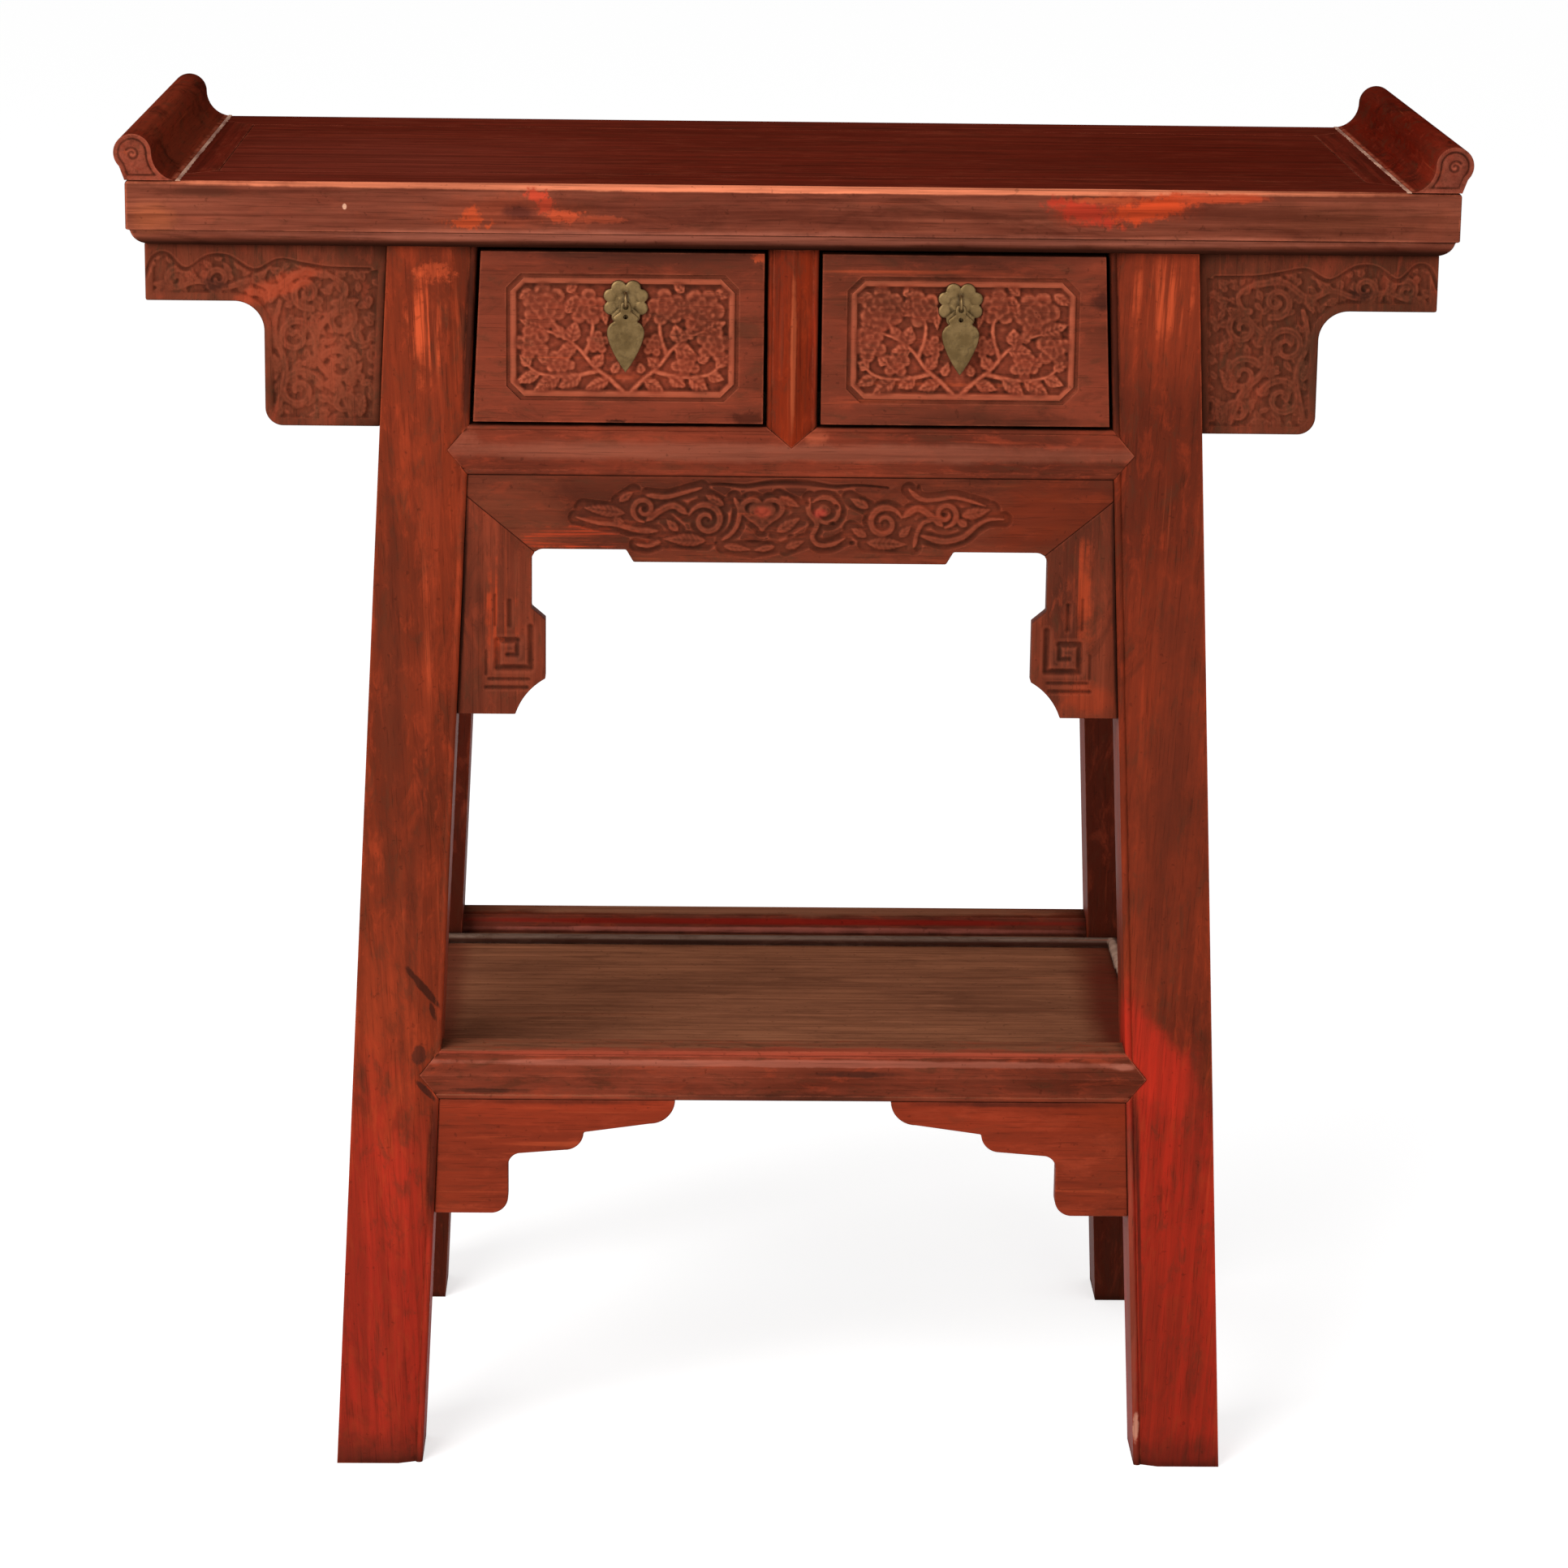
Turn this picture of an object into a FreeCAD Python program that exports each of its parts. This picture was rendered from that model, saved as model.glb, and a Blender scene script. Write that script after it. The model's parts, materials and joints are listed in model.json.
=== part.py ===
# Altar table with two drawers, everted ends, splayed legs and a low shelf.
# Millimetres, +Z up, front towards -Y, origin on the floor under the middle of the top.
import FreeCAD
import Part
import math
import os
import Sketcher
from types import SimpleNamespace

dimensions = {
    # top frame, floating panel and the battens under it
    "top_length": 886,
    "top_depth": 386,
    "top_height": 903,
    "top_thickness": 44,
    "top_member_width": 57,
    "top_arris_radius": 3,
    "edge_ovolo_height": 11,
    "edge_ovolo_radius": 13,
    "edge_undercut": 16,
    "edge_step": 2.5,
    "top_panel_thickness": 14,
    "panel_tongue_length": 8,
    "panel_tongue_thickness": 6,
    "top_batten_width": 40,
    "top_batten_height": 20,
    "top_batten_spacing": 400,
    "batten_stub": 8,
    # everted ends
    "flange_width": 33.5,
    "flange_height": 30.5,
    "flange_overhang": 7,
    "flange_scroll_radius": 12.5,
    "flange_tongue_width": 10,
    "flange_tongue_depth": 8,
    # legs, which lean out by these amounts per millimetre of height
    "leg_spread": 542,
    "leg_width": 60,
    "leg_depth": 53,
    "leg_setback": 15,
    "side_splay": 0.047,
    "front_splay": 0.021,
    "leg_flat": 43,
    "leg_hollow": 4,
    "leg_bead": 5,
    "leg_bead_radius": 2.7,
    "leg_tenon_width": 22,
    "leg_tenon_height": 24,
    # gabled rails with pointed mitres, and their tenons
    "drawer_opening": 120,
    "drawer_rail_height": 34,
    "shelf_height": 302.5,
    "shelf_rail_height": 36,
    "rail_depth": 30,
    "rail_ridge": 4,
    "rail_bead": 3.5,
    "rail_bead_radius": 2,
    "mitre_reach": 14,
    "mitre_depth": 10,
    "tenon_length": 26,
    "tenon_thickness": 12,
    "tenon_height": 20,
    # drawer divider
    "divider_width": 34,
    "divider_depth": 28,
    "divider_tenon_width": 14,
    "divider_tenon_length": 12,
    # panels that close the drawer case
    "case_panel_thickness": 10,
    "case_panel_setback": 16,
    "case_panel_tongue": 6,
    # runners and guides
    "runner_thickness": 18,
    "runner_bearing": 18,
    "runner_stub": 6,
    "guide_height": 20,
    "guide_play": 0.8,
    # drawers
    "drawer_gap": 2.4,
    "drawer_play": 0.3,
    "drawer_front_thickness": 18,
    "drawer_side_thickness": 10,
    "drawer_side_inset": 4,
    "drawer_side_drop": 8,
    "drawer_back_gap": 12,
    "drawer_bottom_thickness": 6,
    "drawer_bottom_lift": 8,
    "drawer_housing": 4,
    "field_margin_side": 17,
    "field_margin_top": 15,
    "field_cant": 9.5,
    "field_groove_width": 2.5,
    "field_groove_depth": 1.5,
    # pulls: plate, cotter with a round eye, pendant
    "pull_drop": 31,
    "pull_inset": 3.5,
    "plate_thickness": 1.4,
    "plate_half_width": 15,
    "plate_rise": 12.5,
    "plate_notch": 3,
    "plate_fall": 17.5,
    "plate_waist": 10.5,
    "plate_waist_drop": 4,
    "plate_lobe_radius": 9,
    "plate_shoulder": 8,
    "plate_wing_rise": 2.5,
    "plate_foot_rise": 3,
    "plate_foot_half_width": 6,
    "plate_point_half_width": 1.2,
    "eye_radius": 4.5,
    "eye_wire_radius": 1.1,
    "eye_standoff": 0.3,
    "shank_width": 3,
    "clinch_length": 26,
    "clinch_thickness": 1.2,
    "pendant_thickness": 1.6,
    "pendant_play": 0.4,
    "pendant_web": 1.8,
    "pendant_neck_half_width": 3,
    "pendant_neck_drop": 10,
    "pendant_shoulder_radius": 8,
    "pendant_half_width": 12.5,
    "pendant_widest_drop": 20,
    "pendant_side_radius": 36,
    "pendant_length": 49,
    "pendant_point_half_width": 1,
    # apron board and its two drops
    "apron_thickness": 14,
    "apron_setback": 5,
    "apron_height": 51,
    "apron_middle_width": 212,
    "apron_middle_drop": 8.5,
    "apron_step": 5,
    "apron_corner_radius": 8,
    "apron_mitre_drop": 15,
    "drop_spacing": 350,
    "drop_height": 166,
    "drop_lobe": 9.5,
    "drop_lobe_top": 92,
    "drop_lobe_slope": 8,
    "drop_lobe_bottom": 141,
    "drop_foot_spacing": 372,
    "drop_cove_radius": 44,
    # spandrels under the overhanging ends
    "spandrel_thickness": 14,
    "spandrel_setback": 8,
    "spandrel_height": 123,
    "spandrel_width": 83,
    "spandrel_arm_height": 39,
    "spandrel_end_margin": 10,
    "spandrel_corner_radius": 20,
    "spandrel_foot_radius": 12,
    # shelf panel and the battens under it
    "shelf_recess": 14,
    "shelf_panel_thickness": 10,
    "shelf_panel_gap": 0.5,
    "shelf_notch_play": 2,
    "shelf_batten_width": 40,
    "shelf_batten_spacing": 220,
    # brackets under the shelf
    "bracket_thickness": 14,
    "bracket_setback": 5,
    "bracket_spacing": 150,
    "bracket_height": 83.5,
    "bracket_tip_radius": 17.5,
    "bracket_first_length": 46,
    "bracket_first_fall": 6.5,
    "bracket_step_radius": 13,
    "bracket_second_length": 30.5,
    "bracket_second_fall": 2.5,
    "bracket_corner_radius": 9,
    "bracket_foot_radius": 12,
}


class Size:
    """A number together with the sheet expression that gives it."""

    def __init__(self, value, text):
        self.value = value
        self.text = text

    def joined(self, sign, other, value):
        return Size(value, f"({self.text} {sign} {as_size(other).text})")

    def __add__(self, other):
        return self.joined("+", other, self.value + as_size(other).value)

    def __sub__(self, other):
        return self.joined("-", other, self.value - as_size(other).value)

    def __mul__(self, other):
        return self.joined("*", other, self.value * as_size(other).value)

    def __truediv__(self, other):
        return self.joined("/", other, self.value / as_size(other).value)

    def __neg__(self):
        return self * -1

    def __rmul__(self, number):
        return self * number


def as_size(number):
    """Gives a plain number the same form as a size from the sheet."""
    return number if isinstance(number, Size) else Size(number, f"({number})")


doc = FreeCAD.newDocument("altar_table")
sheet = doc.addObject("Spreadsheet::Sheet", "Sizes")
for row, (name, value) in enumerate(dimensions.items(), start=1):
    sheet.set(f"A{row}", name)
    sheet.set(f"B{row}", str(value))
    sheet.setAlias(f"B{row}", name)
doc.recompute()

dim = SimpleNamespace(**{name: Size(value, f"Sizes.{name}") for name, value in dimensions.items()})
middle = as_size(0)
diagonal = math.sqrt(0.5)
front, back = -1, 1
left, right = -1, 1
parts = {}


def bind(thing, path, amount):
    """Ties one property to the sheet."""
    thing.setExpression(path, as_size(amount).text)


def arc_between(start, end, radius, turn):
    """The shorter arc from start to end; turn is 1 anticlockwise and -1 clockwise."""
    chord = end - start
    rise = math.sqrt(radius ** 2 - (chord.Length / 2) ** 2)
    across = FreeCAD.Vector(-chord.y, chord.x, 0).normalize()
    center = (start + end) * 0.5 + across * (rise * turn)
    angles = [math.atan2(point.y - center.y, point.x - center.x) for point in (start, end)]
    circle = Part.Circle(center, FreeCAD.Vector(0, 0, 1), radius)
    return Part.ArcOfCircle(circle, *angles[::turn])


def trace(sketch, path):
    """Adds a closed outline whose corners and radii follow the sheet.

    A corner is (x, y), or (x, y, radius, turn) where an arc leads on to the next corner.
    """
    first = sketch.GeometryCount
    spots = [FreeCAD.Vector(corner[0].value, corner[1].value, 0) for corner in path]
    lines = []
    ends = []
    for corner, here, there in zip(path, spots, spots[1:] + spots[:1]):
        if len(corner) == 2:
            lines.append(Part.LineSegment(here, there))
            ends.append((1, 2))
        else:
            radius, turn = corner[2:]
            lines.append(arc_between(here, there, radius.value, turn))
            ends.append((1, 2)[::turn])
    sketch.addGeometry(lines)
    joints = []
    held = []
    for index, corner in enumerate(path):
        line = first + index
        previous = first + (index - 1) % len(path)
        start = ends[index][0]
        joints.append(Sketcher.Constraint("Coincident", previous, ends[index - 1][1], line, start))
        held.append((Sketcher.Constraint("DistanceX", line, start, corner[0].value), corner[0]))
        held.append((Sketcher.Constraint("DistanceY", line, start, corner[1].value), corner[1]))
        if len(corner) > 2:
            held.append((Sketcher.Constraint("Radius", line, corner[2].value), corner[2]))
    sketch.addConstraint(joints)
    hold(sketch, held)


def hold(sketch, held):
    """Adds constraints and ties their values to the sheet."""
    indices = sketch.addConstraint([constraint for constraint, amount in held])
    for index, (constraint, amount) in zip(indices, held):
        bind(sketch, f"Constraints[{index}]", amount)


def ring(sketch, x, y, radius):
    """Adds a full circle."""
    spot = FreeCAD.Vector(x.value, y.value, 0)
    line = sketch.addGeometry(Part.Circle(spot, FreeCAD.Vector(0, 0, 1), radius.value))
    hold(sketch, [
        (Sketcher.Constraint("DistanceX", line, 3, x.value), x),
        (Sketcher.Constraint("DistanceY", line, 3, y.value), y),
        (Sketcher.Constraint("Radius", line, radius.value), radius),
    ])


def new_body(label):
    body = doc.addObject("PartDesign::Body", label)
    body.Label = label
    return body


def new_sketch(body, role, offset):
    """A sketch on one of the body's own planes, moved along the plane's normal."""
    sketch = body.newObject("Sketcher::SketchObject", f"{body.Name}_outline")
    plane = next(feature for feature in body.Origin.OriginFeatures if feature.Role == role)
    sketch.AttachmentSupport = [(plane, "")]
    sketch.MapMode = "FlatFace"
    bind(sketch, "AttachmentOffset.Base.z", offset)
    return sketch


def prism(body, axis, paths, low, high, cut=False):
    """Pads or pockets closed outlines between two places along one axis of the body.

    The outlines are in (y, z) for axis x, in (x, z) for axis y and in (x, y) for axis z.
    """
    role, normal = {"x": ("YZ_Plane", 1), "y": ("XZ_Plane", -1), "z": ("XY_Plane", 1)}[axis]
    starts_high = (normal < 0) != cut
    sketch = new_sketch(body, role, normal * (high if starts_high else low))
    for path in paths:
        trace(sketch, path)
    kind = "Pocket" if cut else "Pad"
    feature = body.newObject(f"PartDesign::{kind}", f"{body.Name}_{kind.lower()}")
    feature.Profile = sketch
    bind(feature, "Length", high - low)
    return feature


def block(label, x, y, z):
    """A plain board, given its lowest and highest place along each axis."""
    board = doc.addObject("Part::Box", label)
    board.Label = label
    for size_name, axis, (low, high) in zip(("Length", "Width", "Height"), "xyz", (x, y, z)):
        bind(board, size_name, high - low)
        bind(board, f"Placement.Base.{axis}", low)
    return board


def boolean(kind, name, base, tool):
    """A Part boolean of two objects."""
    result = doc.addObject(f"Part::{kind}", name)
    result.Base = base
    result.Tool = tool
    return result


def finished(label, piece, mates=()):
    """Cuts a piece to fit the pieces that enter it, labels it and lists it for export."""
    for mate in mates:
        piece = boolean("Cut", f"{label}_seat", piece, mate)
    piece.Label = label
    parts[label] = piece
    return piece


def rectangle(x_low, x_high, y_low, y_high):
    return [(x_low, y_low), (x_high, y_low), (x_high, y_high), (x_low, y_high)]


def with_mirror(half):
    """Closes the right half of a symmetric outline with its mirror image."""
    arcs = [()] + [corner[2:] for corner in half[:-1]]
    other = [(-corner[0], corner[1], *arc) for corner, arc in zip(half, arcs)]
    return half + other[::-1]


def on_side(side, near, far):
    """The range between two distances from the middle, on the right or the left."""
    return (near, far) if side > 0 else (-far, -near)


def behind(facing, face, near, far):
    """The range between two depths behind a face that stands this far from the middle."""
    return on_side(facing, face - far, face - near)


# Places that several pieces share
top_underside = dim.top_height - dim.top_thickness
end_edge = dim.top_length / 2
long_edge = dim.top_depth / 2
panel_underside = dim.top_height - dim.top_panel_thickness
drawer_rail_top = top_underside - dim.drawer_opening
drawer_rail_low = drawer_rail_top - dim.drawer_rail_height
shelf_rail_low = dim.shelf_height - dim.shelf_rail_height
shelf_panel_top = dim.shelf_height - dim.shelf_recess
shelf_panel_low = shelf_panel_top - dim.shelf_panel_thickness


def leg_side(z):
    """From the middle to the legs' outer faces at a height."""
    return dim.leg_spread / 2 + dim.side_splay * (top_underside - z)


def leg_inside(z):
    return leg_side(z) - dim.leg_width


def leg_face(z):
    """From the middle to the legs' front or back faces at a height."""
    return long_edge - dim.leg_setback + dim.front_splay * (top_underside - z)


def leg_rear(z):
    return leg_face(z) - dim.leg_depth


# Top frame, panel, battens and everted ends

def edge_section(edge, side):
    """The moulded section of a top frame member, seen along the member."""
    step_height = top_underside + dim.edge_ovolo_height
    inner = edge - dim.top_member_width
    return [
        (side * edge, step_height),
        (side * edge, dim.top_height - dim.top_arris_radius, dim.top_arris_radius, side),
        (side * (edge - dim.top_arris_radius), dim.top_height),
        (side * inner, dim.top_height),
        (side * inner, top_underside),
        (side * (edge - dim.edge_undercut), top_underside, dim.edge_ovolo_radius, side),
        (side * (edge - dim.edge_step), step_height),
    ]


def top_member(label, axis, side):
    """A moulded frame member, mitred at both ends."""
    across, along = (long_edge, end_edge) if axis == "x" else (end_edge, long_edge)
    width = dim.top_member_width
    moulding = new_body(f"{label}_moulding")
    prism(moulding, axis, [edge_section(across, side)], -along, along)
    mitred = [
        (-along, across), (along, across),
        (along - width, across - width), (width - along, across - width),
    ]
    plan = [(first, side * second) for first, second in mitred]
    if axis == "y":
        plan = [(second, first) for first, second in plan]
    outline = new_body(f"{label}_plan")
    prism(outline, "z", [plan], top_underside, dim.top_height)
    return boolean("Common", f"{label}_mitred", moulding, outline)


def top_panel():
    """The floating panel, flush with its frame and tongued into it."""
    tongue_low = panel_underside + (dim.top_panel_thickness - dim.panel_tongue_thickness) / 2
    inner_x = end_edge - dim.top_member_width
    inner_y = long_edge - dim.top_member_width
    wide_x = inner_x + dim.panel_tongue_length
    wide_y = inner_y + dim.panel_tongue_length
    body = new_body("top_panel")
    prism(body, "z", [rectangle(-inner_x, inner_x, -inner_y, inner_y)], panel_underside, dim.top_height)
    tongue = rectangle(-wide_x, wide_x, -wide_y, wide_y)
    prism(body, "z", [tongue], tongue_low, tongue_low + dim.panel_tongue_thickness)
    return finished("top_panel", body)


def top_batten(label, side):
    """A batten under the panel, stubbed into the front and back rails."""
    center = side * dim.top_batten_spacing / 2
    reach = long_edge - dim.top_member_width + dim.batten_stub
    half = dim.top_batten_width / 2
    height = (panel_underside - dim.top_batten_height, panel_underside)
    return finished(label, block(label, (center - half, center + half), (-reach, reach), height))


def flange(label, side):
    """An everted end: a hollow sweep up from the top, rolled over outwards."""
    radius = dim.flange_scroll_radius
    scroll_x = end_edge + dim.flange_overhang - radius
    scroll_z = dim.top_height + dim.flange_height - radius
    base = end_edge - dim.flange_width
    run = scroll_x - radius - base
    rise = scroll_z - dim.top_height
    sweep_radius = (run * run + rise * rise) / (run * 2)
    path = [
        (side * base, dim.top_height, sweep_radius, side),
        (side * (scroll_x - radius), scroll_z, radius, -side),
        (side * scroll_x, scroll_z + radius, radius, -side),
        (side * (scroll_x + radius), scroll_z, radius, -side),
        (side * (scroll_x + radius * diagonal), scroll_z - radius * diagonal),
        (side * end_edge, dim.top_height),
    ]
    body = new_body(label)
    prism(body, "y", [path], -long_edge, long_edge)
    center = end_edge - dim.flange_width / 2
    half = dim.flange_tongue_width / 2
    reach = long_edge - dim.top_member_width
    tongue_x = on_side(side, center - half, center + half)
    tongue_low = dim.top_height - dim.flange_tongue_depth
    prism(body, "y", [rectangle(*tongue_x, tongue_low, dim.top_height)], -reach, reach)
    return finished(label, body)


# Legs

def leg_blank(label, side, end):
    """A leg before its joints are cut: a moulded section that leans both ways, and a top tenon."""
    outer = leg_side(middle)
    face = leg_face(middle)
    bead_start = dim.leg_width - dim.leg_bead
    section = [
        (middle, middle),
        (middle, dim.leg_depth),
        (dim.leg_width, dim.leg_depth),
        (dim.leg_width, dim.leg_hollow, dim.leg_bead_radius, 1),
        (bead_start, dim.leg_hollow),
        (dim.leg_flat, middle),
    ]
    path = []
    for across, depth, *arc in section:
        if arc:
            arc = [arc[0], -arc[1] * side * end]
        path.append((side * (outer - across), end * (face - depth), *arc))
    body = new_body(f"{label}_blank")
    shaft = prism(body, "z", [path], middle, top_underside)
    shaft.UseCustomVector = True
    shaft.AlongSketchNormal = True
    bind(shaft, "Direction.x", -side * dim.side_splay)
    bind(shaft, "Direction.y", -end * dim.front_splay)
    bind(shaft, "Direction.z", 1)
    center_x = side * (leg_side(top_underside) - dim.leg_width / 2)
    center_y = end * (leg_face(top_underside) - dim.leg_depth / 2)
    half = dim.leg_tenon_width / 2
    tenon = rectangle(center_x - half, center_x + half, center_y - half, center_y + half)
    prism(body, "z", [tenon], top_underside, top_underside + dim.leg_tenon_height)
    return body


# Gabled rails and the divider

def gable_section(face, facing, low, high, depth):
    """A ridge down the middle of the face and a small bead along each edge."""
    edge = face - dim.rail_ridge
    rear = face - depth
    return [
        (facing * face, (low + high) / 2),
        (facing * edge, high - dim.rail_bead, dim.rail_bead_radius, facing),
        (facing * edge, high),
        (facing * rear, high),
        (facing * rear, low),
        (facing * edge, low, dim.rail_bead_radius, facing),
        (facing * edge, low + dim.rail_bead),
    ]


def gabled_rail(label, axis, facing, low, high):
    """A rail between two legs: pointed mitres in front, square shoulders behind, and tenons.

    The second result is the outline of its joints, which cuts their notches and mortises.
    """
    center = (low + high) / 2
    if axis == "x":
        shoulder, face, depth_axis = leg_inside, leg_face(center), "y"
    else:
        shoulder, face, depth_axis = leg_rear, leg_side(center), "x"
    section = new_body(f"{label}_section")
    limit = shoulder(center) + dim.tenon_length + dim.mitre_reach
    prism(section, axis, [gable_section(face, facing, low, high, dim.rail_depth)], -limit, limit)
    tip = shoulder(center) + dim.mitre_reach
    pointed = with_mirror([(shoulder(low), low), (tip, center), (shoulder(high), high)])
    square = with_mirror([(shoulder(low), low), (shoulder(high), high)])
    reach = shoulder(center) + dim.tenon_length
    tenon = rectangle(-reach, reach, center - dim.tenon_height / 2, center + dim.tenon_height / 2)
    tenon_rear = dim.mitre_depth + dim.tenon_thickness
    outline = new_body(f"{label}_joints")
    prism(outline, depth_axis, [pointed], *behind(facing, face, -dim.rail_ridge, dim.mitre_depth))
    prism(outline, depth_axis, [square], *behind(facing, face, dim.mitre_depth, dim.rail_depth))
    prism(outline, depth_axis, [tenon], *behind(facing, face, dim.mitre_depth, tenon_rear))
    return boolean("Common", f"{label}_rail", section, outline), outline


def drawer_divider():
    """The upright between the drawers, pointed into the rail and tenoned at both ends."""
    face = leg_face((drawer_rail_top + top_underside) / 2)
    half = dim.divider_width / 2
    low = drawer_rail_top - dim.divider_tenon_length
    high = top_underside + dim.divider_tenon_length
    section = new_body("drawer_divider_section")
    ridge = gable_section(face, back, -half, half, dim.divider_depth)
    plan = [(corner[1], -corner[0], *corner[2:]) for corner in ridge]
    prism(section, "z", [plan], low - dim.mitre_reach, high)
    pointed = [
        (-half, drawer_rail_top), (middle, drawer_rail_top - dim.mitre_reach), (half, drawer_rail_top),
        (half, top_underside), (-half, top_underside),
    ]
    square = rectangle(-half, half, drawer_rail_top, top_underside)
    tenon = rectangle(-dim.divider_tenon_width / 2, dim.divider_tenon_width / 2, low, high)
    tenon_rear = dim.mitre_depth + dim.tenon_thickness
    outline = new_body("drawer_divider_joints")
    prism(outline, "y", [pointed], *behind(front, face, -dim.rail_ridge, dim.mitre_depth))
    prism(outline, "y", [square], *behind(front, face, dim.mitre_depth, dim.divider_depth))
    prism(outline, "y", [tenon], *behind(front, face, dim.mitre_depth, tenon_rear))
    finished("drawer_divider", boolean("Common", "drawer_divider_post", section, outline))
    return outline


# Drawer case

def case_panel(label, axis, facing):
    """A thin panel between two legs, tongued into them, that closes the drawer case."""
    center = (drawer_rail_top + top_underside) / 2
    shoulder = leg_inside if axis == "x" else leg_rear
    face = leg_face(center) if axis == "x" else leg_side(center)
    ends = [(shoulder(z) + dim.case_panel_tongue, z) for z in (drawer_rail_top, top_underside)]
    body = new_body(label)
    rear = dim.case_panel_setback + dim.case_panel_thickness
    depth_axis = "y" if axis == "x" else "x"
    prism(body, depth_axis, [with_mirror(ends)], *behind(facing, face, dim.case_panel_setback, rear))
    return finished(label, body)


# Drawer sizes that the runners share
drawer_low = drawer_rail_top + dim.drawer_gap
drawer_high = top_underside - dim.drawer_gap
drawer_center_z = (drawer_low + drawer_high) / 2
drawer_face = leg_face(drawer_center_z)
drawer_near = dim.divider_width / 2 + dim.drawer_gap
box_near = drawer_near + dim.drawer_side_inset
box_far = leg_inside(drawer_high) - dim.drawer_gap - dim.drawer_side_inset
box_low = drawer_rail_top + dim.drawer_play
box_high = drawer_high - dim.drawer_side_drop
case_rear = leg_face(drawer_center_z) - dim.case_panel_setback - dim.case_panel_thickness
box_rear = case_rear - dim.drawer_back_gap
pull_x = (drawer_near + leg_inside(drawer_center_z) - dim.drawer_gap) / 2 - dim.pull_inset
pull_z = drawer_high - dim.pull_drop
eye_y = -drawer_face - dim.plate_thickness - dim.eye_standoff - dim.eye_radius - dim.eye_wire_radius


def runner(label, across, guide, guide_start):
    """A runner stubbed into the front and back drawer rails, with a guide standing on it."""
    inside = leg_face((drawer_rail_low + drawer_rail_top) / 2) - dim.rail_depth
    reach = inside + dim.runner_stub
    base = rectangle(*across, drawer_rail_top - dim.runner_thickness, drawer_rail_top)
    upright = rectangle(*guide, drawer_rail_top, drawer_rail_top + dim.guide_height)
    body = new_body(label)
    prism(body, "y", [base], -reach, reach)
    prism(body, "y", [upright], guide_start, case_rear)
    return finished(label, body)


def side_runner(label, side):
    """The runner and guide at the outer side of a drawer."""
    outer = leg_inside(drawer_rail_top + dim.guide_height) - dim.guide_play
    across = on_side(side, box_far - dim.runner_bearing, outer)
    guide = on_side(side, box_far + dim.guide_play, outer)
    return runner(label, across, guide, dim.drawer_front_thickness + dim.guide_play - drawer_face)


def middle_runner():
    """The runner under the inner sides of both drawers, with its guide between them."""
    outer = box_near + dim.runner_bearing
    guide = box_near - dim.guide_play
    return runner("runner_centre", (-outer, outer), (-guide, guide), dim.divider_depth - drawer_face)


# Drawers and their pulls

def field_outline(side, inset):
    """The canted frame line on a drawer front, drawn in by an inset."""
    near = drawer_near + dim.field_margin_side + inset
    far = leg_inside(drawer_high) - dim.drawer_gap - dim.field_margin_side - inset
    low = drawer_low + dim.field_margin_top + inset
    high = drawer_high - dim.field_margin_top - inset
    cant = dim.field_cant
    corners = [
        (near + cant, low), (far - cant, low), (far, low + cant), (far, high - cant),
        (far - cant, high), (near + cant, high), (near, high - cant), (near, low + cant),
    ]
    return [(side * x, z) for x, z in corners]


def cotter(label, side):
    """A strip bent into a round eye, with a shank through the drawer front clinched inside."""
    eye = doc.addObject("Part::Torus", f"{label}_eye")
    bind(eye, "Radius1", dim.eye_radius)
    bind(eye, "Radius2", dim.eye_wire_radius)
    eye.Placement.Rotation = FreeCAD.Rotation(FreeCAD.Vector(0, 1, 0), 90)
    for axis, place in zip("xyz", (side * pull_x, eye_y, pull_z)):
        bind(eye, f"Placement.Base.{axis}", place)
    half = dim.shank_width / 2
    across = (side * pull_x - half, side * pull_x + half)
    upright = (pull_z - half, pull_z + half)
    inside = dim.drawer_front_thickness - drawer_face
    shank = block(f"{label}_shank", across, (eye_y + dim.eye_radius, inside + dim.clinch_thickness), upright)
    spread = (side * pull_x - dim.clinch_length / 2, side * pull_x + dim.clinch_length / 2)
    clinch = block(f"{label}_clinch", spread, (inside, inside + dim.clinch_thickness), upright)
    pin = boolean("Fuse", f"{label}_pin", shank, clinch)
    return finished(label, boolean("Fuse", f"{label}_whole", eye, pin))


def pull_plate(label, side, shank):
    """A thin plate with two lobes above, two wings and a small point below."""
    radius = dim.plate_lobe_radius
    half = [
        (dim.plate_point_half_width, dim.plate_rise - dim.plate_notch, radius, -1),
        (dim.plate_shoulder, dim.plate_rise, radius, -1),
        (dim.plate_half_width, dim.plate_wing_rise, radius, -1),
        (dim.plate_waist, -dim.plate_waist_drop, radius, -1),
        (dim.plate_foot_half_width, dim.plate_foot_rise - dim.plate_fall),
        (dim.plate_point_half_width, -dim.plate_fall),
    ]
    body = new_body(f"{label}_sheet")
    prism(body, "y", [with_mirror(half)], -dim.plate_thickness, middle)
    for axis, place in zip("xyz", (side * pull_x, -drawer_face, pull_z)):
        bind(body, f"Placement.Base.{axis}", place)
    return finished(label, body, [shank])


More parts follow.
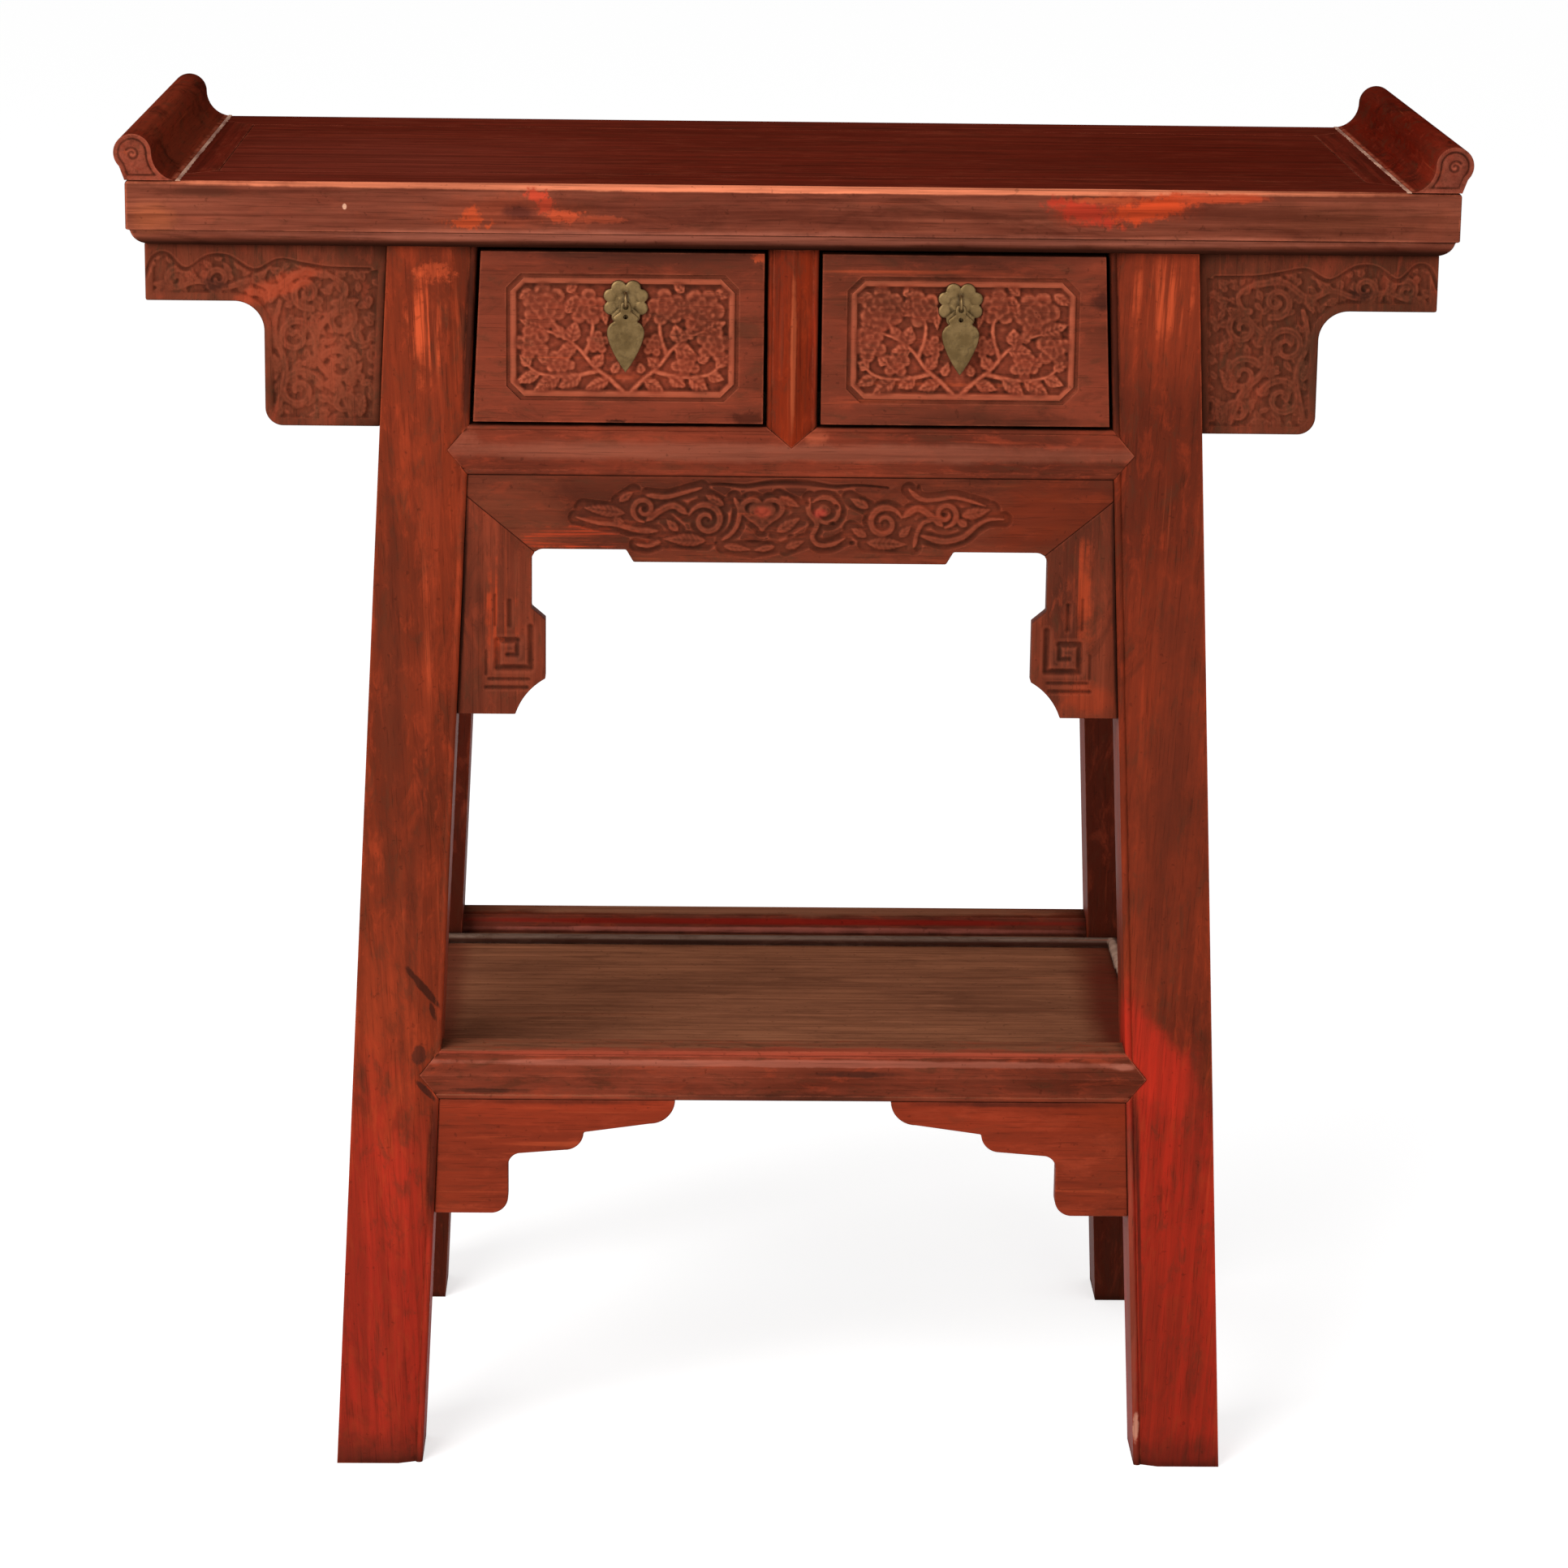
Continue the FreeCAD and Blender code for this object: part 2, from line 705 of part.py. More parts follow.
def pendant(label, side):
    """A flat leaf-shaped drop whose hole hangs on the cotter's eye."""
    hole = dim.eye_wire_radius + dim.pendant_play
    top = hole + dim.pendant_web - dim.eye_radius
    half = [
        (dim.pendant_neck_half_width, top),
        (dim.pendant_neck_half_width, -dim.pendant_neck_drop, dim.pendant_shoulder_radius, -1),
        (dim.pendant_half_width, -dim.pendant_widest_drop, dim.pendant_side_radius, -1),
        (dim.pendant_point_half_width, -dim.pendant_length),
    ]
    body = new_body(label)
    thickness = dim.pendant_thickness
    sheet_pad = prism(body, "y", [with_mirror(half)], -thickness / 2, thickness / 2)
    ring(sheet_pad.Profile[0], middle, -dim.eye_radius, hole)
    for axis, place in zip("xyz", (side * pull_x, eye_y, pull_z)):
        bind(body, f"Placement.Base.{axis}", place)
    return finished(label, body)


def drawer(name, side):
    """Front, two sides, back and bottom of one drawer, with its pull."""
    front_inside = dim.drawer_front_thickness - drawer_face
    floor_low = box_low + dim.drawer_bottom_lift
    floor_high = floor_low + dim.drawer_bottom_thickness
    inner_near = box_near + dim.drawer_side_thickness
    inner_far = box_far - dim.drawer_side_thickness
    housing = dim.drawer_housing
    floor_x = on_side(side, inner_near - housing, inner_far + housing)
    bottom_label = f"{name}_bottom"
    bottom = block(bottom_label, floor_x, (front_inside - housing, box_rear), (floor_low, floor_high))
    finished(bottom_label, bottom)
    walls = {"inner_side": (box_near, inner_near), "outer_side": (inner_far, box_far)}
    for wall, across in walls.items():
        label = f"{name}_{wall}"
        board = block(f"{label}_board", on_side(side, *across), (front_inside, box_rear), (box_low, box_high))
        finished(label, board, [bottom])
    rear_x = on_side(side, inner_near, inner_far)
    rear_y = (box_rear - dim.drawer_side_thickness, box_rear)
    rear_label = f"{name}_back"
    finished(rear_label, block(rear_label, rear_x, rear_y, (floor_high, box_high)))
    pin = cotter(f"{name}_pull_cotter", side)
    pull_plate(f"{name}_pull_plate", side, pin)
    pendant(f"{name}_pull_pendant", side)
    face = new_body(f"{name}_front_board")
    corners = [
        (drawer_near, drawer_low), (leg_inside(drawer_low) - dim.drawer_gap, drawer_low),
        (leg_inside(drawer_high) - dim.drawer_gap, drawer_high), (drawer_near, drawer_high),
    ]
    prism(face, "y", [[(side * x, z) for x, z in corners]], -drawer_face, front_inside)
    groove = [field_outline(side, middle), field_outline(side, dim.field_groove_width)]
    prism(face, "y", groove, -drawer_face, dim.field_groove_depth - drawer_face, cut=True)
    finished(f"{name}_front", face, [bottom, pin])


# Apron, spandrels, shelf and brackets

apron_low = drawer_rail_low - dim.apron_height
apron_face = leg_face((drawer_rail_low + apron_low) / 2) - dim.apron_setback
mitre_z = drawer_rail_low - dim.apron_mitre_drop
drop_x = dim.drop_spacing / 2
corner_reach = dim.apron_corner_radius * (1 - diagonal)
mitre_end = (drop_x - corner_reach, apron_low - corner_reach)


def apron_board():
    """The board under the drawer rail, mitred to its drops and lower in the middle."""
    radius = dim.apron_corner_radius
    half_middle = dim.apron_middle_width / 2
    half = [
        (leg_inside(drawer_rail_low), drawer_rail_low),
        (leg_inside(mitre_z), mitre_z),
        (*mitre_end, radius, 1),
        (drop_x - radius, apron_low),
        (half_middle + dim.apron_step, apron_low),
        (half_middle, apron_low - dim.apron_middle_drop),
    ]
    body = new_body("apron_board")
    prism(body, "y", [with_mirror(half)], *behind(front, apron_face, middle, dim.apron_thickness))
    finished("apron_board", body)


def apron_drop(label, side):
    """A stepped ear that runs down a leg from the apron board."""
    low = drawer_rail_low - dim.drop_height
    lobe_x = drop_x - dim.drop_lobe
    lobe_top = drawer_rail_low - dim.drop_lobe_top
    corners = [
        (leg_inside(mitre_z), mitre_z),
        (*mitre_end, dim.apron_corner_radius, -1),
        (drop_x, apron_low - dim.apron_corner_radius),
        (drop_x, lobe_top),
        (lobe_x, lobe_top - dim.drop_lobe_slope),
        (lobe_x, drawer_rail_low - dim.drop_lobe_bottom, dim.drop_cove_radius, -1),
        (dim.drop_foot_spacing / 2, low),
        (leg_inside(low), low),
    ]
    body = new_body(label)
    prism(body, "y", [on_hand(side, corners)], *behind(front, apron_face, middle, dim.apron_thickness))
    finished(label, body)


def on_hand(side, corners):
    """Mirrors an outline drawn for the right side when it is wanted on the left."""
    path = []
    for x, z, *arc in corners:
        if arc:
            arc = [arc[0], arc[1] * side]
        path.append((side * x, z, *arc))
    return path


def spandrel(label, side, facing):
    """The piece under an overhanging end: an arm along the top and a block beside the leg."""
    low = top_underside - dim.spandrel_height
    arm_low = top_underside - dim.spandrel_arm_height
    arm_end = end_edge - dim.spandrel_end_margin
    block_x = leg_side(top_underside) + dim.spandrel_width
    corner = dim.spandrel_corner_radius
    foot = dim.spandrel_foot_radius
    corners = [
        (leg_side(top_underside), top_underside),
        (arm_end, top_underside),
        (arm_end, arm_low),
        (block_x + corner, arm_low, corner, 1),
        (block_x, arm_low - corner),
        (block_x, low + foot, foot, -1),
        (block_x - foot, low),
        (leg_side(low), low),
    ]
    face = leg_face((low + top_underside) / 2) - dim.spandrel_setback
    body = new_body(label)
    prism(body, "y", [on_hand(side, corners)], *behind(facing, face, middle, dim.spandrel_thickness))
    finished(label, body)


def shelf_panel():
    """The recessed shelf board, notched round the legs, with a tongue that enters the rails."""
    rail_center = (shelf_rail_low + dim.shelf_height) / 2
    inner_x = leg_side(rail_center) - dim.rail_depth
    inner_y = leg_face(rail_center) - dim.rail_depth
    notch_x = leg_inside(shelf_panel_top) - dim.shelf_notch_play
    notch_y = leg_rear(shelf_panel_top) - dim.shelf_notch_play

    def notched(wide_x, wide_y):
        return with_mirror([
            (notch_x, -wide_y), (notch_x, -notch_y), (wide_x, -notch_y),
            (wide_x, notch_y), (notch_x, notch_y), (notch_x, wide_y),
        ])

    field = notched(inner_x - dim.shelf_panel_gap, inner_y - dim.shelf_panel_gap)
    tongue = notched(inner_x + dim.panel_tongue_length, inner_y + dim.panel_tongue_length)
    body = new_body("shelf_panel")
    prism(body, "z", [field], shelf_panel_low, shelf_panel_top)
    prism(body, "z", [tongue], shelf_panel_low, shelf_panel_low + dim.panel_tongue_thickness)
    return finished("shelf_panel", body)


def shelf_batten(label, side):
    """A batten under the shelf board, stubbed into the front and back rails."""
    rail_center = (shelf_rail_low + dim.shelf_height) / 2
    reach = leg_face(rail_center) - dim.rail_depth + dim.batten_stub
    center = side * dim.shelf_batten_spacing / 2
    half = dim.shelf_batten_width / 2
    across = (center - half, center + half)
    return finished(label, block(label, across, (-reach, reach), (shelf_rail_low, shelf_panel_low)))


def shelf_bracket(label, side):
    """A stepped bracket in the corner between the shelf rail and a leg."""
    low = shelf_rail_low - dim.bracket_height
    tip, step = dim.bracket_tip_radius, dim.bracket_step_radius
    corner, foot = dim.bracket_corner_radius, dim.bracket_foot_radius
    tip_x = dim.bracket_spacing / 2
    first_x = tip_x + tip + dim.bracket_first_length
    first_z = shelf_rail_low - tip - dim.bracket_first_fall
    second_x = first_x + step + dim.bracket_second_length
    second_z = first_z - step - dim.bracket_second_fall
    corners = [
        (tip_x, shelf_rail_low, tip, 1),
        (tip_x + tip, shelf_rail_low - tip),
        (first_x, first_z, step, 1),
        (first_x + step, first_z - step),
        (second_x, second_z, corner, -1),
        (second_x + corner, second_z - corner),
        (second_x + corner, low + foot, foot, 1),
        (second_x + corner + foot, low),
        (leg_inside(low), low),
        (leg_inside(shelf_rail_low), shelf_rail_low),
    ]
    face = leg_face((low + shelf_rail_low) / 2) - dim.bracket_setback
    body = new_body(label)
    prism(body, "y", [on_hand(side, corners)], *behind(front, face, middle, dim.bracket_thickness))
    finished(label, body)


# Assembly: pieces that enter others come first, so that their seats can be cut
panel = top_panel()
top_battens = [top_batten("top_batten_left", left), top_batten("top_batten_right", right)]
divider_joints = drawer_divider()
runners = [side_runner("runner_left", left), middle_runner(), side_runner("runner_right", right)]
shelf_board = shelf_panel()
shelf_battens = [shelf_batten("shelf_batten_left", left), shelf_batten("shelf_batten_right", right)]
back_panel = case_panel("case_back_panel", "x", back)

case_height = (drawer_rail_low, drawer_rail_top)
shelf_span = (shelf_rail_low, dim.shelf_height)
front_extras = {front: [divider_joints], back: []}
back_extras = {front: [], back: [back_panel]}
cross_joints = {}
for facing, word in ((front, "front"), (back, "back")):
    drawer_rail, drawer_joints = gabled_rail(f"drawer_rail_{word}", "x", facing, *case_height)
    finished(f"drawer_rail_{word}", drawer_rail, runners + front_extras[facing])
    shelf_rail, shelf_joints = gabled_rail(f"shelf_rail_{word}", "x", facing, *shelf_span)
    finished(f"shelf_rail_{word}", shelf_rail, [shelf_board] + shelf_battens)
    cross_joints[facing] = [drawer_joints, shelf_joints]

side_joints = {}
for side, word in ((left, "left"), (right, "right")):
    case_rail, case_joints = gabled_rail(f"case_rail_{word}", "y", side, *case_height)
    finished(f"case_rail_{word}", case_rail)
    shelf_rail, shelf_joints = gabled_rail(f"shelf_rail_{word}", "y", side, *shelf_span)
    finished(f"shelf_rail_{word}", shelf_rail, [shelf_board])
    side_joints[side] = [case_joints, shelf_joints, case_panel(f"case_panel_{word}", "y", side)]
    end_piece = flange(f"flange_{word}", side)
    finished(f"top_end_{word}", top_member(f"top_end_{word}", "y", side), [panel, end_piece])

for facing, word in ((front, "front"), (back, "back")):
    blanks = []
    for side, hand in ((left, "left"), (right, "right")):
        label = f"leg_{word}_{hand}"
        blank = leg_blank(label, side, facing)
        finished(label, blank, cross_joints[facing] + side_joints[side] + back_extras[facing])
        blanks.append(blank)
        spandrel(f"spandrel_{word}_{hand}", side, facing)
    rail = top_member(f"top_rail_{word}", "x", facing)
    finished(f"top_rail_{word}", rail, [panel] + top_battens + blanks + front_extras[facing])

apron_board()
for side, word in ((left, "left"), (right, "right")):
    apron_drop(f"apron_drop_{word}", side)
    shelf_bracket(f"shelf_bracket_{word}", side)
    drawer(f"drawer_{word}", side)

doc.recompute()

failed = [thing.Label for thing in doc.Objects if "Invalid" in thing.State or "Error" in thing.State]
if failed:
    raise RuntimeError(f"features that failed: {failed}")
for thing in doc.Objects:
    if thing.TypeId == "PartDesign::Pocket" and thing.Shape.Volume >= thing.BaseFeature.Shape.Volume:
        raise RuntimeError(f"{thing.Label} cuts nothing")
for label, piece in parts.items():
    if piece.Shape.isNull() or not piece.Shape.isValid() or len(piece.Shape.Solids) != 1:
        raise RuntimeError(f"{label} is not one valid solid")

os.makedirs("parts", exist_ok=True)
for label, piece in parts.items():
    piece.Shape.exportStep(f"parts/{label}.step")
print(f"{len(parts)} pieces written")
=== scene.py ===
# Dresses the altar table: carved fronts, brass pulls and worn lacquer round the fixed frame.
import bmesh
import bpy
import json
import math
import numpy as np
from mathutils import Matrix, Vector


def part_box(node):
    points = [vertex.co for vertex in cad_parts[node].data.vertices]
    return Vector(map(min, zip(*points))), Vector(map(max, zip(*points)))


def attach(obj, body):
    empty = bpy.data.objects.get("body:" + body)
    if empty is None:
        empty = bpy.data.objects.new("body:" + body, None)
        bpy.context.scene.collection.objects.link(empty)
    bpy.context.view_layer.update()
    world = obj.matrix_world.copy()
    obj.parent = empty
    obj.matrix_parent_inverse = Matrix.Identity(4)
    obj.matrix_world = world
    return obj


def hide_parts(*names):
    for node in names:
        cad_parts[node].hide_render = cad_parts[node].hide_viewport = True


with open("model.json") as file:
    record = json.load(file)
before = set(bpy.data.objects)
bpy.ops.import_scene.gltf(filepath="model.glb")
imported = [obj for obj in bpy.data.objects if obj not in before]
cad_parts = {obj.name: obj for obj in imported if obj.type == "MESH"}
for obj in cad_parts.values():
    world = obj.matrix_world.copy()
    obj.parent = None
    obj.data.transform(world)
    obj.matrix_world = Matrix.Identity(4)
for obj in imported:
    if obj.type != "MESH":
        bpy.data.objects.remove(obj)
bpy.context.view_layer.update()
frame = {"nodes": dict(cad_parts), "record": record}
nodes = frame["nodes"]
mm = 0.001
legLean = 0.047    # sideways lean of the legs, as a share of the height
bodyOf = {}
for body, members in frame["record"]["behaviour"]["bodies"].items():
    for member in members:
        bodyOf[member] = body
slotOf = {row["node"]: row["material_slot"] for row in frame["record"]["subparts"]}
print("frame loaded with", len(nodes), "nodes")


# Shader helpers

def paint(red, green, blue):
    # an 8-bit screen colour as the linear colour that a socket takes
    shares = [value / 255 for value in (red, green, blue)]
    linear = [share / 12.92 if share <= 0.04045 else ((share + 0.055) / 1.055) ** 2.4 for share in shares]
    return (*linear, 1.0)


def feed(tree, socket, value):
    if isinstance(value, bpy.types.NodeSocket):
        tree.links.new(value, socket)
    else:
        socket.default_value = value


def put(tree, kind, sockets=None, **settings):
    node = tree.nodes.new("ShaderNode" + kind)
    for key, value in settings.items():
        setattr(node, key, value)
    for key, value in (sockets or {}).items():
        feed(tree, node.inputs[key], value)
    return node


def reckon(tree, how, first, second=0.0, clamp=False):
    return put(tree, "Math", {0: first, 1: second}, operation=how, use_clamp=clamp).outputs[0]


def between(tree, value, low, high, start=0.0, end=1.0):
    # eases a value from start to end as it goes from low to high
    sockets = {"Value": value, "From Min": low, "From Max": high, "To Min": start, "To Max": end}
    return put(tree, "MapRange", sockets, interpolation_type="SMOOTHSTEP").outputs["Result"]


def blendColours(tree, share, first, second, how="MIX"):
    node = put(tree, "Mix", data_type="RGBA", blend_type=how)
    for index, value in ((0, share), (6, first), (7, second)):   # factor, A and B of the colour mix
        feed(tree, node.inputs[index], value)
    return node.outputs[2]


def noise(tree, place, scale, detail=3.0, roughness=0.55, distortion=0.0):
    sockets = {
        "Vector": place, "Scale": scale, "Detail": detail, "Roughness": roughness, "Distortion": distortion,
    }
    return put(tree, "TexNoise", sockets).outputs["Fac"]


def vectorStep(tree, how, first, second=(0.0, 0.0, 0.0)):
    return put(tree, "VectorMath", {0: first, 1: second}, operation=how).outputs


def newGroup(name, inputs, outputs):
    group = bpy.data.node_groups.new(name, "ShaderNodeTree")
    for label, kind in inputs.items():
        group.interface.new_socket(name=label, in_out="INPUT", socket_type="NodeSocket" + kind)
    for label in outputs:
        group.interface.new_socket(name=label, in_out="OUTPUT", socket_type="NodeSocketFloat")
    return group, group.nodes.new("NodeGroupInput").outputs, group.nodes.new("NodeGroupOutput").inputs


def useGroup(tree, group, sockets):
    node = put(tree, "Group", node_tree=group)
    for key, value in sockets.items():
        feed(tree, node.inputs[key], value)
    return node.outputs


# Effects that the finishes share

textures = {    # settings of each noise
    "streak": {"scale": 1.0, "detail": 6.0, "roughness": 0.62, "distortion": 0.35},
    "pores": {"scale": 5.5, "detail": 2.0, "roughness": 0.5},
    "stroke": {"scale": 0.62, "detail": 4.0, "roughness": 0.6, "distortion": 0.6},
    "scuffed": {"scale": 9.0, "detail": 2.0},
    "cloud": {"scale": 1.0, "detail": 4.0},
    "rub": {"scale": 3.7, "detail": 7.0, "roughness": 0.68, "distortion": 0.8},
    "smoke": {"scale": 2.3, "detail": 8.0, "roughness": 0.70, "distortion": 1.2},
    "speck": {"scale": 210.0, "detail": 2.0, "roughness": 0.6},
    "mottle": {"scale": 7.0, "detail": 6.0, "roughness": 0.72, "distortion": 0.5},
    "broken": {"scale": 55.0, "detail": 5.0, "roughness": 0.7},
    "uneven": {"scale": 38.0, "detail": 4.0},
    "torn": {"detail": 7.0, "roughness": 0.70},
}
comesIn = {    # the values between which each effect comes in, and its own range where that is not 0 to 1
    "streak": (0.34, 0.66), "pores": (0.60, 0.70), "stroke": (0.60, 0.70), "scuffed": (0.46, 0.62),
    "cloud": (0.30, 0.70), "rub": (0.52, 0.70), "smoke": (0.50, 0.68), "speck": (0.665, 0.72),
    "olive": (0.52, 0.66), "warm": (0.48, 0.34), "broken": (0.36, 0.62), "uneven": (0.25, 0.62, 0.45, 1.0),
    "edge": (0.99, 0.80), "corner": (0.88, 0.40), "grainGap": (0.75, 0.15),
}
patchRim = 1.05    # where a worn spot ends, as a share of its reach


def texture(tree, place, name):
    return between(tree, noise(tree, place, **textures[name]), *comesIn[name])


def makeGrain():
    # long streaks, short pores and bright scuffs, drawn out along the board by the stretch
    sockets = {"Place": "Vector", "Stretch": "Vector"}
    group, given, result = newGroup("woodGrain", sockets, ("Streak", "Pores", "Scuff"))
    drawn = vectorStep(group, "MULTIPLY", given["Place"], given["Stretch"])[0]
    feed(group, result["Streak"], texture(group, drawn, "streak"))
    feed(group, result["Pores"], texture(group, drawn, "pores"))
    stroke, where = texture(group, drawn, "stroke"), texture(group, given["Place"], "scuffed")
    feed(group, result["Scuff"], reckon(group, "MULTIPLY", stroke, where))
    return group


def makePatina():
    # broad clouds, rubbed places, smoky patches, small dark specks and a mottle of olive and warm spots
    sockets = {"Place": "Vector", "Stretch": "Vector"}
    group, given, result = newGroup("patina", sockets, ("Cloud", "Rub", "Smoke", "Speck", "Olive", "Warm"))
    drawn = vectorStep(group, "MULTIPLY", given["Place"], given["Stretch"])[0]
    feed(group, result["Cloud"], texture(group, drawn, "cloud"))
    feed(group, result["Rub"], texture(group, drawn, "rub"))
    feed(group, result["Smoke"], texture(group, drawn, "smoke"))
    feed(group, result["Speck"], texture(group, given["Place"], "speck"))
    mottle = noise(group, drawn, **textures["mottle"])
    feed(group, result["Olive"], between(group, mottle, *comesIn["olive"]))
    feed(group, result["Warm"], between(group, mottle, *comesIn["warm"]))
    return group


def makeEdgeWearAndHighlight():
    # bright where two faces meet, partly worn edges and partly a painted highlight, broken up so that it
    # never reads as a drawn line
    group, given, result = newGroup("edgeWearAndHighlight", {"Place": "Vector", "Radius": "Float"}, ("Edge",))
    rounded = put(group, "Bevel", {"Radius": given["Radius"]}, samples=4).outputs["Normal"]
    plain = put(group, "NewGeometry").outputs["Normal"]
    turn = vectorStep(group, "DOT_PRODUCT", rounded, plain)["Value"]
    edge = between(group, turn, *comesIn["edge"])
    feed(group, result["Edge"], reckon(group, "MULTIPLY", edge, texture(group, given["Place"], "broken")))
    return group


def makeDirtAndShade():
    # old wax and dust in corners and in the cuts of the carving, together with painted shade there
    group, given, result = newGroup("creviceDirtAndShade", {"Place": "Vector", "Reach": "Float"}, ("DirtAndShade",))
    openShare = put(group, "AmbientOcclusion", {"Distance": given["Reach"]}, samples=6).outputs["AO"]
    corner = between(group, openShare, *comesIn["corner"])
    cuts = put(group, "Attribute", attribute_name="cavity", attribute_type="GEOMETRY").outputs["Fac"]
    both = reckon(group, "MAXIMUM", corner, cuts)
    feed(group, result["DirtAndShade"], reckon(group, "MULTIPLY", both, texture(group, given["Place"], "uneven")))
    return group


def makePatch():
    # one ragged spot of wear, stain, painted highlight or painted shade round a centre; soft widens its
    # border
    inputs = {
        "Place": "Vector", "Centre": "Vector", "Reach": "Vector",
        "Ragged": "Float", "Scale": "Float", "Soft": "Float",
    }
    group, given, result = newGroup("wearAndLightPatch", inputs, ("Patch",))
    offset = vectorStep(group, "SUBTRACT", given["Place"], given["Centre"])[0]
    shared = vectorStep(group, "DIVIDE", offset, given["Reach"])[0]
    far = vectorStep(group, "LENGTH", shared)["Value"]
    torn = noise(group, given["Place"], given["Scale"], **textures["torn"])
    torn = reckon(group, "MULTIPLY", reckon(group, "SUBTRACT", torn, 0.5), given["Ragged"])
    inner = reckon(group, "SUBTRACT", 1.0, given["Soft"])
    feed(group, result["Patch"], between(group, reckon(group, "ADD", far, torn), patchRim, inner))
    return group


grainGroup = makeGrain()
patinaGroup = makePatina()
edgeGroup = makeEdgeWearAndHighlight()
dirtAndShadeGroup = makeDirtAndShade()
patchGroup = makePatch()
print("shared effects made")


# Finishes: colours are 8-bit screen values

grainAlong = {"x": (5.0, 190.0, 190.0), "y": (190.0, 5.0, 190.0), "z": (190.0, 190.0, 5.0)}
cloudAlong = {
    "x": (5.0, 15.0, 15.0), "y": (15.0, 5.0, 15.0), "z": (15.0, 15.0, 5.0),
    "brass": (120.0, 120.0, 120.0), "seam": (90.0, 30.0, 90.0),
}
# a dark tone for dirt, also used to paint shade in corners, cuts and under edges
dirtAndShadeTone = (34, 17, 11)
wornOrange = (210, 84, 46)
dirtAndShadeColour = paint(*dirtAndShadeTone)
oliveStain = paint(74, 47, 31)

